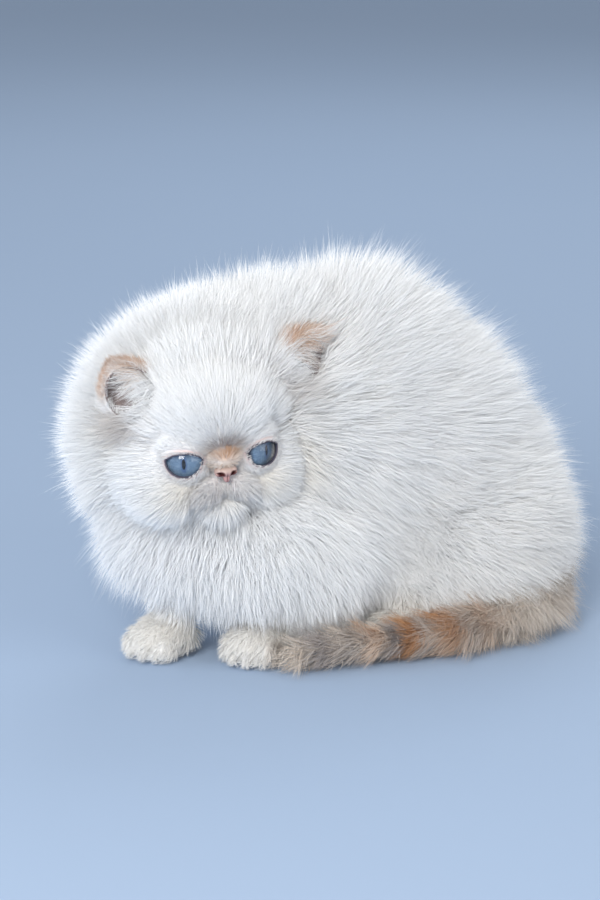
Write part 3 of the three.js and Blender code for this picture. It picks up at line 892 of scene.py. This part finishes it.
# A tuft is a thin spindle of three sides, or a cone where its path is straight. Strand carries how
# far along the tuft a point is, and the tuft's own tone.
def tuftMesh(name, path, wide, thick, facing, marks, tone, uv):
    count, rings = len(path), path.shape[1] - 1
    tangent = unit(np.gradient(path, axis=1))
    aside = unit(np.cross(tangent, facing[:, None, :]))
    flat = np.cross(aside, tangent)
    first = min(1, rings - 1)
    share = stepsOf(rings)
    angles = np.radians((90, 210, 330))
    points = [path[:, 0]] * first
    for k in range(first, rings):
        taper = math.sqrt(1 - share[k] ** 1.5)
        for angle in angles:
            offset = aside[:, k] * (wide * taper * math.cos(angle) / 2)[:, None]
            offset += flat[:, k] * (thick * taper * math.sin(angle) / 2)[:, None]
            points.append(path[:, k] + offset)
    points.append(path[:, rings])
    each = len(points)
    points = np.stack(points, 1).reshape(-1, 3)
    around = [(j, (j + 1) % 3) for j in range(3)]
    faces = [(first + j, 0, first + i) for i, j in around] if first else [(0, 2, 1)]
    for k in range(first, each - 4, 3):
        for i, j in around:
            faces += [(k + i, k + j, k + j + 3), (k + i, k + j + 3, k + i + 3)]
    faces += [(each - 4 + i, each - 4 + j, each - 1) for i, j in around]
    triangles = (np.array(faces)[None] + (np.arange(count) * each)[:, None, None]).reshape(-1, 3)
    mesh = bpy.data.meshes.new(name)
    mesh.vertices.add(len(points))
    mesh.vertices.foreach_set("co", (points * mm).astype(np.float32).ravel())
    mesh.loops.add(triangles.size)
    mesh.loops.foreach_set("vertex_index", triangles.astype(np.int32).ravel())
    mesh.polygons.add(len(triangles))
    mesh.polygons.foreach_set("loop_start", np.arange(0, triangles.size, 3, dtype=np.int32))
    mesh.polygons.foreach_set("use_smooth", np.zeros(len(triangles), bool))  # flat faces keep a tuft bright
    mesh.update(calc_edges=True)
    alongs = np.concatenate([share[:first], np.repeat(share[first:rings], 3), share[rings:]])
    strands = np.zeros((count, each, 4))
    strands[:, :, 0] = alongs
    strands[:, :, 1] = tone[:, None]
    strands[:, :, 3] = 1
    colourAttribute(mesh, "strand", strands.reshape(-1, 4))
    colourAttribute(mesh, "marks", np.repeat(marks, each, axis=0))
    across = np.concatenate([[0] * first, np.tile(np.cos(angles), rings - first), [0]])
    spots = uv[:, None] + np.stack([across * 0.5, alongs - 0.5], 1)[None] * patchSize
    layer = mesh.uv_layers.new(name="OFBake")
    layer.uv.foreach_set("vector", spots.reshape(-1, 2)[triangles.ravel()].astype(np.float32).ravel())
    mesh.materials.append(coatMaterial)
    obj = bpy.data.objects.new(name, mesh)
    bpy.context.scene.collection.objects.link(obj)
    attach(obj, "root")
    return obj


# Grows one part of the coat from its roots. Lift is how steeply a tuft stands at its root and its
# tip, pull how much those near each other draw together towards their tips, clump how many do so,
# frizz the waviness, uneven the spread in length, and wisps the share that is longer and thinner.
def grow(name, look, roots, normals, flow, length, uv, rooms, rng, pieces=1):
    count = len(roots)
    flow = flow - (flow * normals).sum(1, keepdims=True) * normals
    lie = unit(flow)
    sway = rng.normal(size=count)[:, None] * look["sway"]
    lie = unit(lie * np.cos(sway) + np.cross(normals, lie) * np.sin(sway))
    lift = np.array(look["lift"]) + rng.normal(size=(count, 1)) * look["unruly"]
    lift = np.clip(lift, 0.05, 0.97)
    start = normals * lift[:, :1] + lie * np.sqrt(1 - lift[:, :1] ** 2)
    end = normals * lift[:, 1:] + lie * np.sqrt(1 - lift[:, 1:] ** 2) - up * look["droop"]
    length = length * (1.12 - look["uneven"] * rng.random(count))
    wisps = rng.random(count) < look["wisps"]
    length[wisps] *= 1.34
    kept = stayOut(roots, start, end, length, rooms)
    keep = kept > 0.2
    roots, normals, start, end, uv, wisps = (x[keep] for x in (roots, normals, start, end, uv, wisps))
    length = (length * kept)[keep]
    count = len(roots)
    steps = stepsOf(look["rings"])
    early, late = (steps - steps**2 / 2)[:, None], (steps**2 / 2)[:, None]
    path = roots[:, None] + length[:, None, None] * (start[:, None] * early + end[:, None] * late)
    leaders = rng.choice(count, max(4, count // look["clump"]), replace=False)
    tree = KDTree(len(leaders))
    for i, leader in enumerate(leaders):
        tree.insert(roots[leader], i)
    tree.balance()
    of = leaders[np.array([tree.find(p)[1] for p in roots])]
    pull = look["pull"] * (0.5 + 0.7 * rng.random(count))[:, None, None] * (steps**1.5)[None, :, None]
    path = path + (path[of] - path) * np.minimum(pull, 0.9)
    frizz = length[:, None, None] * look["frizz"] * steps[None, :, None]
    path = path + rng.normal(size=path.shape) * frizz
    path[:, 0] -= normals * 0.8
    onFloor = 0.7 + 0.5 * rng.random(path.shape[:2])
    path[:, :, 2] = np.where(path[:, :, 2] < 1.0, onFloor, path[:, :, 2])
    wide = look["wide"] * (0.75 + 0.5 * rng.random(count)) * np.where(wisps, 0.7, 1)
    facing = unit(normals + rng.normal(size=normals.shape) * 0.5)
    marks = np.clip(marksAt(roots) * (0.75 + 0.5 * rng.random((count, 1))), 0, 1)
    tone = rng.random(count)
    order = np.argsort(np.arctan2(roots[:, 1] + 10, roots[:, 0]))
    for i, some in enumerate(np.array_split(order, pieces)):
        label = name if pieces == 1 else f"{name}_{i + 1}"
        parts = (x[some] for x in (path, wide, wide * look["flat"], facing, marks, tone, uv))
        obj = tuftMesh(label, *parts)
        print(label, len(obj.data.polygons))


coatMaterial = coatPaint()
fluffy = {
    "lift": (0.86, 0.68), "droop": 0.08, "wide": 0.32, "flat": 0.7, "pull": 0.4, "clump": 24, "sway": 0.35,
    "frizz": 0.035, "reach": 1.38, "rings": 2, "wisps": 0.1, "wool": 0.45, "uneven": 0.55, "unruly": 0.08,
}
coatLooks = {
    "torso": {**fluffy, "count": 62000, "pieces": 2},
    "neck": {**fluffy, "count": 30000, "lift": (0.8, 0.62)},
    "chest": {**fluffy, "count": 15000, "lift": (0.62, 0.4), "reach": 1.85},
    "hindleg_left": {**fluffy, "count": 18000, "lift": (0.78, 0.55)},
    "hindleg_right": {**fluffy, "count": 6000, "lift": (0.78, 0.55)},
    "tail": {
        **fluffy, "count": 14000, "lift": (0.62, 0.35), "reach": 2.0, "sway": 0.55, "pull": 0.65,
        "droop": 0.05, "wool": 0,
    },
}
# Short straight wool under the long hair, thicker and lying every way
wool = {
    "lift": (0.8, 0.6), "droop": 0.05, "wide": 1.1, "flat": 0.7, "pull": 0.1, "clump": 8, "sway": 0.7,
    "frizz": 0.06, "reach": 0.8, "rings": 1, "wisps": 0, "uneven": 0.34, "unruly": 0.14,
}


def growBody():
    rng = np.random.default_rng(7)
    for group, look in coatLooks.items():
        chosen = (faceGroup == groups.index(group)) * (0.35 + 0.65 * ramp(2, 14, faceMiddle[:, 2]))
        chosen *= 0.4 + 0.6 * faceSeen
        roots, normals, uv = scatter(chosen, look["count"], rng)
        flow, depth = lieAt(roots)
        rooms = [faceRoom] + earRooms + pawRooms + ([] if group == "tail" else tailRooms)
        slot = "point_coat" if group == "tail" else "coat"
        length = depth * look["reach"]
        pieces = look.get("pieces", 1)
        grow("coat_" + group, look, roots, normals, flow, length, uv, rooms, rng, pieces)
        if look["wool"]:
            roots, normals, uv = scatter(chosen, int(look["count"] * look["wool"]), rng)
            flow, depth = lieAt(roots)
            length = depth * wool["reach"]
            grow("wool_" + group, wool, roots, normals, flow, length, uv, rooms, rng)


# On the head hair is short round eyes, nose and lips, and longer to the cheeks and crown
crownLook = {**fluffy, "count": 19000, "lift": (0.74, 0.5), "reach": 2.0, "clump": 16, "droop": 0.05}
faceLook = {
    "count": 28000, "lift": (0.42, 0.3), "droop": 0.02, "wide": 0.27, "flat": 0.6, "pull": 0.25, "clump": 10,
    "sway": 0.18, "frizz": 0.02, "rings": 2, "wisps": 0.04, "reach": 1.9, "uneven": 0.34, "unruly": 0.06,
}
# Bare places: a margin round the lids and the ball, the nose, and a margin beside the mouth's lines
bare = {"lid": 0.35, "ball": 0.8, "nose": (28.5, 0, -4.3), "noseHalf": (5.0, 5.4, 3.4), "mouth": 0.55}


# Which points bear no hair, and how far the others are from such a place
def bareFace(points):
    local = toHead(points)
    isBare = np.zeros(len(points), bool)
    short = np.full(len(points), 99.0)
    for side in sides:
        q = eyeLocal(points, side)
        near = (q[:, 0] > 2) & (np.linalg.norm(q, axis=1) < 24)
        gap = np.full(len(points), 99.0)
        gap[near] = lidGap(q[near])
        onBall = np.linalg.norm(q, axis=1) < eye["radius"] + bare["ball"]
        isBare |= (gap < bare["lid"]) | (onBall & (q[:, 0] > -12))
        short = np.minimum(short, gap)
    nose = np.linalg.norm((local - np.array(bare["nose"])) / np.array(bare["noseHalf"]), axis=1)
    isBare |= nose < 1
    short = np.minimum(short, (nose - 1) * 6)
    for name in ("slitLine", "leftLine", "rightLine"):
        gaps, _ = nearestOn(mouth[name], local)
        isBare |= gaps < bare["mouth"]
        short = np.minimum(short, gaps * 1.6 + 1.5)
    return isBare, np.maximum(short, 0)


def growHead():
    rng = np.random.default_rng(19)
    local = toHead(faceMiddle)
    onHead = faceGroup == groups.index("head")
    isBare, _ = bareFace(faceMiddle)
    front = ramp(-2, 10, local[:, 0])
    parts = {
        "coat_crown": (crownLook, onHead * (1 - front)),
        "coat_face": (faceLook, onHead * front * ~isBare),
    }
    for name, (look, chosen) in parts.items():
        roots, normals, uv = scatter(chosen * (0.5 + ramp(5, 20, local[:, 0]) * 1.2), look["count"], rng)
        flow, depth = lieAt(roots)
        _, short = bareFace(roots)
        depth = np.minimum(depth * ramp(-2, 16, short) + 0.7, depth)
        grow(name, look, roots, normals, flow, depth * look["reach"], uv, earRooms + eyeRooms, rng)


pawLook = {
    **faceLook, "count": 13000, "lift": (0.5, 0.3), "wide": 0.38, "reach": 1.5, "clump": 8, "sway": 0.25,
    "droop": 0.1,
}
earLook = {
    **faceLook, "count": 7000, "lift": (0.62, 0.5), "wide": 0.28, "reach": 0.9, "sway": 0.4, "frizz": 0.05,
}


def growPawsAndEars():
    rng = np.random.default_rng(31)
    onPaws = np.isin(faceGroup, [groups.index(name) for name in paws]) * ramp(1.0, 4, faceMiddle[:, 2])
    roots, normals, uv = scatter(onPaws, pawLook["count"], rng)
    flow, depth = lieAt(roots)
    length = depth * pawLook["reach"]
    grow("coat_paws", pawLook, roots, normals, flow, length, uv, tailRooms, rng)
    onEars = np.zeros(len(faceMiddle), bool)
    for side in ears:
        e = earLocal(faceMiddle, side)
        cup = (e[:, 0] > cupShare["back"]) & (np.hypot(e[:, 1], e[:, 2]) < 0.78)
        onEars |= (faceGroup == groups.index("ear_" + side)) & ~cup
    roots, normals, uv = scatter(onEars, earLook["count"], rng)
    flow, depth = lieAt(roots)
    length = depth * earLook["reach"]
    for side in ears:
        e = earLocal(roots, side)
        length *= 1 - 0.35 * (ramp(-0.35, 0.1, e[:, 0]) * (np.linalg.norm(e, axis=1) < 1.3))
    grow("coat_ears", earLook, roots, normals, flow, length, uv, earRooms, rng)


print("growing the coat")
growBody()
growHead()
growPawsAndEars()

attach(skin, "root")
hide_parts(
    "head", "neck", "chest", "torso", "hindleg_left", "hindleg_right", *paws,
    "tail_base", "tail_middle", "tail_tip", "ear_left", "ear_right",
)


# Long pale hairs that start at the inner edge of an ear and cross its cup
earTufts = {**fluffy, "count": 1200, "lift": (0.5, 0.35), "droop": 0.0, "pull": 0.8, "frizz": 0.03}


def growEarTufts():
    rng = np.random.default_rng(43)
    for name, side in sides.items():
        e = earLocal(faceMiddle, name)
        near = np.linalg.norm(e, axis=1) < 1.25
        edge = near & (-e[:, 1] * side > 0.45) & (e[:, 2] < 0.55) & (e[:, 0] > -0.7)
        base = near & (e[:, 2] < -0.55) & (e[:, 0] > -0.6)
        roots, _, uv = scatter(edge | base, earTufts["count"], rng)
        axes = earAxes(name)
        out = np.tile(axes[:, 0], (len(roots), 1))
        flow = np.tile(axes @ np.array(ears[name]["sweep"]), (len(roots), 1))
        length = 15 + 7 * rng.random(len(roots))
        grow("ear_tufts_" + name, earTufts, roots, out, flow, length, uv, [], rng)


growEarTufts()


# Whiskers, in rows on the pads and a few over each eye
whiskers = {
    "rows": 4, "each": 5, "length": 34, "wide": 0.2, "flat": 0.9, "lift": (0.55, 0.25), "droop": 0.16,
    "pull": 0.0, "clump": 4, "sway": 0.12, "frizz": 0.0, "rings": 6, "wisps": 0, "uneven": 0.34,
    "unruly": 0.05,
}


def growWhiskers():
    rng = np.random.default_rng(57)
    tree = BVHTree.FromObject(skin, bpy.context.evaluated_depsgraph_get())
    roots, normals, flow, length = [], [], [], []

    def plant(at, lie, long):
        spot, normal, _, _ = tree.find_nearest(Vector(fromHead(at) * mm))
        roots.append(np.array(spot) / mm)
        normals.append(normal)
        flow.append(headAxes @ np.array(lie))
        length.append(long)

    for side in sides.values():
        for row in range(whiskers["rows"]):
            for k in range(whiskers["each"]):
                at = (26 - 1.5 * k, (5.0 + 1.9 * k) * side, -9.0 - 1.9 * row + 0.35 * k)
                long = whiskers["length"] * (0.55 + 0.12 * k) * (0.8 + 0.3 * rng.random())
                plant(at, (-0.1, side, -0.25 - 0.12 * row), long)
        for k in range(4):
            plant((24, (15 + 1.6 * k) * side, 11.5), (0.1, 0.6 * side, 1), 26 + 6 * rng.random())
    roots, normals, flow, length = (np.array(x, float) for x in (roots, normals, flow, length))
    uv = np.full((len(roots), 2), 0.5)
    grow("whiskers", whiskers, roots, normals, flow, length, uv, [], rng)


growWhiskers()


# The nose: a small bare leather with slit nostrils and a cleft under it
noseLook = {
    "balls": [
        ((27.5, 0, -2.9), (3.2, 3.7, 2.3)),
        ((26.9, 2.9, -2.9), (2.9, 2.2, 2.3)),
        ((26.9, -2.9, -2.9), (2.9, 2.2, 2.3)),
        ((27.6, 0, -5.6), (2.2, 1.5, 2.4)),
    ],
    "nostril": ((30.0, 2.5, -3.4), (2.4, 1.15, 0.85)),
    "nostrilTurn": (28, 0, 10),
    "wing": ((29.2, 4.0, -2.9), (1.8, 1.1, 0.45)),
    "wingTurn": (-18, 0, 30),
    "cleft": [(31, 0, -2.6), (30.5, 0, -4.5), (29.8, 0, -7.6)],
}


def painted(obj, material):
    pick(obj)
    bpy.ops.object.shade_smooth()
    obj.data.materials.clear()
    obj.data.materials.append(material)


def nosePaint():
    paint = Paint("nose_leather", Roughness=0.42, Specular_IOR_Level=0.5)
    wet, hollowShade, low, _ = paint.parts("nose")
    grain = paint.noise(2600, 2)
    colour = paint.mix(low, (0.50, 0.37, 0.32), (0.56, 0.30, 0.28))
    colour = paint.mix(grain.step(0.35, 0.7) * 0.35, colour, (0.42, 0.28, 0.25))
    # Painted shade in the nostrils and down the cleft
    colour = paint.mix(hollowShade, colour, (0.10, 0.025, 0.025))
    paint.feed(paint.shader.inputs["Base Color"], colour)
    paint.feed(paint.shader.inputs["Roughness"], 0.48 - wet * 0.2)
    place = paint.add("ShaderNodeTexCoord", output="Object")
    pebbles = paint.add("ShaderNodeTexVoronoi", {}, {"Scale": 2200, "Vector": place})
    paint.bump(pebbles, 0.25, 0.0002)
    return paint.material


def buildNose():
    nose = melted(joined("nose_leather", [ball(*b, detail=4) for b in noseLook["balls"]]), 0.25, 6)
    for side in sides.values():
        for part in ("nostril", "wing"):
            (x, y, z), half = noseLook[part]
            tip, _, spin = noseLook[part + "Turn"]
            carved(nose, ball((x, y * side, z), half, (tip * side, 0, spin * side)))
    melted(nose, 0.2, 2)
    creased(nose, noseLook["cleft"], 0.32, 0.6)
    points = pointsOf(nose)
    aside, high = np.abs(points[:, 1]), points[:, 2]
    # Painted shade down the cleft and inside the nostrils
    hollowShade = 0.6 * (1 - ramp(0.1, 0.5, aside)) * (1 - ramp(-4.4, -3.4, high))
    for side in sides.values():
        at = np.array(noseLook["nostril"][0]) * (1, side, 1) - (0.7, 0, 0)
        hollowShade = np.maximum(hollowShade, 1 - ramp(1.2, 2.1, np.linalg.norm((points - at) / (1.3, 1, 0.8), axis=1)))
    wet, low = ramp(-3, 0, high), 1 - ramp(-5.0, -1.5, high)
    colourAttribute(nose.data, "nose", np.stack([wet, hollowShade, low, np.ones(len(points))], 1))
    settle(nose, headPlace)
    painted(nose, nosePaint())
    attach(nose, "root")
    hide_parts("nose")


# Eyes: a ball whose front is the iris, and a clear cornea bulging over it
eyeLook = {
    "irisRadius": 7.9, "irisBulge": 1.3, "irisEdge": (7.6, 9.3), "pupil": (0.85, 2.4), "planSize": 20,
    "corneaGap": 0.03, "corneaFrom": 6.3, "corneaBulge": 0.55, "corneaWall": 0.12,
    "gaze": {"left": (41, 2), "right": (-21, -1)},
}


def irisPaint():
    paint = Paint("iris", Roughness=0.35, Specular_IOR_Level=0.4)
    where = paint.add("ShaderNodeUVMap", {"uv_map": "irisPlan"})
    split = paint.add("ShaderNodeSeparateXYZ", {}, {0: where}).socket.node
    across, high = ((Tone(paint, split.outputs[i]) - 0.5) * eyeLook["planSize"] for i in range(2))
    radius = (across**2.0 + high**2.0) ** 0.5
    angle = high.by("ARCTAN2", across)
    ray = paint.add("ShaderNodeCombineXYZ", {}, {0: angle * 9, 1: radius * 0.35, 2: 0.0})
    fibres = paint.noise(2.2, 4, ray, 0.65)
    flat = paint.add("ShaderNodeCombineXYZ", {}, {0: across * 0.5, 1: high * 0.5, 2: 3.0})
    clouds = paint.noise(1.1, 3, flat)
    colour = paint.mix(fibres.step(0.3, 0.7), (0.06, 0.115, 0.20), (0.22, 0.33, 0.46))
    colour = paint.mix(clouds.step(0.45, 0.75) * 0.35, colour, (0.33, 0.42, 0.52))
    wide, tall = eyeLook["pupil"]
    slit = ((across * (1 / wide)) ** 2.0 + (high * (1 / tall)) ** 2.0) ** 0.5
    colour = paint.mix((1 - slit.step(1.0, 2.4)) * 0.75, colour, (0.05, 0.10, 0.24))
    colour = paint.mix(radius.step(*eyeLook["irisEdge"]), colour, (0.012, 0.016, 0.04))
    colour = paint.mix(1 - slit.step(0.92, 1.08), colour, (0.002, 0.002, 0.004))
    paint.feed(paint.shader.inputs["Base Color"], colour)
    paint.bump(fibres, 0.35, 0.0004)
    return paint.material


def corneaPaint():
    paint = Paint("cornea")
    facing = paint.add("ShaderNodeLayerWeight", {}, {"Blend": 0.5}, "Facing")
    clear = paint.add("ShaderNodeBsdfTransparent", {}, {"Color": (1, 1, 1, 1)})
    gloss = paint.add("ShaderNodeBsdfGlossy", {}, {"Roughness": 0.03})
    mixed = paint.add("ShaderNodeMixShader", {}, {0: facing**5.0 * 0.9 + 0.035, 1: clear, 2: gloss})
    paint.tree.nodes.remove(paint.shader)
    output = paint.tree.nodes["Material Output"]
    paint.tree.links.new(mixed.socket, output.inputs["Surface"])
    return paint.material


def eyeSphere(name, radius, segments, rings):
    bpy.ops.object.select_all(action="DESELECT")
    bpy.ops.mesh.primitive_uv_sphere_add(
        segments=segments, ring_count=rings, radius=radius * mm, rotation=(0, math.pi / 2, 0)
    )
    sphere = settle(bpy.context.object)
    sphere.name = name
    return sphere


def buildEyes():
    iris, cornea = irisPaint(), corneaPaint()
    for name in sides:
        low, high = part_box("eye_" + name)
        centre = (low + high) / 2
        turn, rise = eyeLook["gaze"][name]
        gaze = headTurn @ Euler((0, math.radians(-rise), math.radians(turn))).to_matrix()
        place = Matrix.Translation(centre) @ gaze.to_4x4()
        eyeball = eyeSphere("eyeball_" + name, eye["radius"], 72, 48)
        points = pointsOf(eyeball)
        r = np.hypot(points[:, 1], points[:, 2])
        rimX = math.sqrt(eye["radius"] ** 2 - eyeLook["irisRadius"] ** 2)
        front = (points[:, 0] > 0) & (r < eyeLook["irisRadius"])
        points[front, 0] = rimX + eyeLook["irisBulge"] * (1 - (r[front] / eyeLook["irisRadius"]) ** 2)
        movePoints(eyeball, points)
        layer = eyeball.data.uv_layers[0]
        layer.name = "irisPlan"
        plan = points[:, 1:] / eyeLook["planSize"] + 0.5
        index = np.zeros(len(eyeball.data.loops), np.int32)
        eyeball.data.loops.foreach_get("vertex_index", index)
        layer.uv.foreach_set("vector", plan[index].astype(np.float32).ravel())
        lens = eyeSphere("cornea_" + name, eye["radius"] + eyeLook["corneaGap"], 64, 64)
        bpy.ops.object.mode_set(mode="EDIT")
        bpy.ops.mesh.select_all(action="SELECT")
        cut = (eyeLook["corneaFrom"] * mm, 0, 0)
        bpy.ops.mesh.bisect(plane_co=cut, plane_no=(1, 0, 0), clear_inner=True, use_fill=False)
        bpy.ops.object.mode_set(mode="OBJECT")
        points = pointsOf(lens)
        r = np.hypot(points[:, 1], points[:, 2])
        points[:, 0] += eyeLook["corneaBulge"] * np.clip(1 - (r / 8.0) ** 2, 0, 1)
        movePoints(lens, points)
        worked(lens, "SOLIDIFY", thickness=eyeLook["corneaWall"] * mm, offset=-1)
        for obj, material in ((eyeball, iris), (lens, cornea)):
            settle(obj, place)
            painted(obj, material)
            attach(obj, "root")
        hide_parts("eye_" + name)


print("nose and eyes")
buildNose()
buildEyes()


# Studio: a pale floor, and soft lights round the kitten
studio = {
    "floor": (0.38, 0.48, 0.63), "sky": (0.84, 0.89, 0.96), "skyStrength": 0.55,
    "target": (0.02, -0.01, 0.08), "lampDistance": 1.35,
}
lamps = {  # place as shares of towards, right and up of the camera, size, power and colour
    "key": ((1.0, -0.35, 0.6), 0.8, 22, (1.0, 0.985, 0.96)),
    "fill": ((0.7, 1.0, 0.4), 1.3, 7, (1.0, 0.97, 0.93)),
    "cool": ((0.3, -1.3, 0.15), 1.2, 9, (0.60, 0.76, 1.0)),
    "back": ((-1.0, 0.2, 0.9), 1.1, 7, (0.92, 0.96, 1.0)),
}


def buildStudio():
    bpy.ops.object.select_all(action="DESELECT")
    bpy.ops.mesh.primitive_circle_add(vertices=96, radius=9, fill_type="NGON", location=(0, 0, -0.0004))
    floor = settle(bpy.context.object)
    floor.name = "floor"
    paint = Paint("floor", Roughness=0.8, Specular_IOR_Level=0.2)
    grain = paint.noise(3, 2)
    r, g, b = studio["floor"]
    colour = paint.mix(grain, (r, g, b), (r * 0.96, g * 0.97, b * 0.98))
    paint.feed(paint.shader.inputs["Base Color"], colour)
    floor.data.materials.append(paint.material)
    floor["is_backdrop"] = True
    target = np.array(studio["target"])
    for name, (place, size, power, colour) in lamps.items():
        aim = towards * place[0] + rightward * place[1] + up * place[2]
        at = target + aim * studio["lampDistance"]
        bpy.ops.object.light_add(type="AREA", location=at)
        lamp = bpy.context.object
        lamp.name = name
        lamp.rotation_euler = Vector(target - at).to_track_quat("-Z", "Y").to_euler()
        lamp.data.size, lamp.data.energy, lamp.data.color = size, power, colour
    world = bpy.data.worlds.new("studio")
    world.use_nodes = True
    background = world.node_tree.nodes["Background"]
    background.inputs[0].default_value = (*studio["sky"], 1)
    background.inputs[1].default_value = studio["skyStrength"]
    bpy.context.scene.world = world
    bpy.context.scene.view_settings.view_transform = "Standard"
    cycles = bpy.context.scene.cycles
    cycles.diffuse_bounces, cycles.max_bounces = 4, 8


buildStudio()
total = sum(len(o.data.polygons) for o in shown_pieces() if o.type == "MESH")
print("faces in all", total)
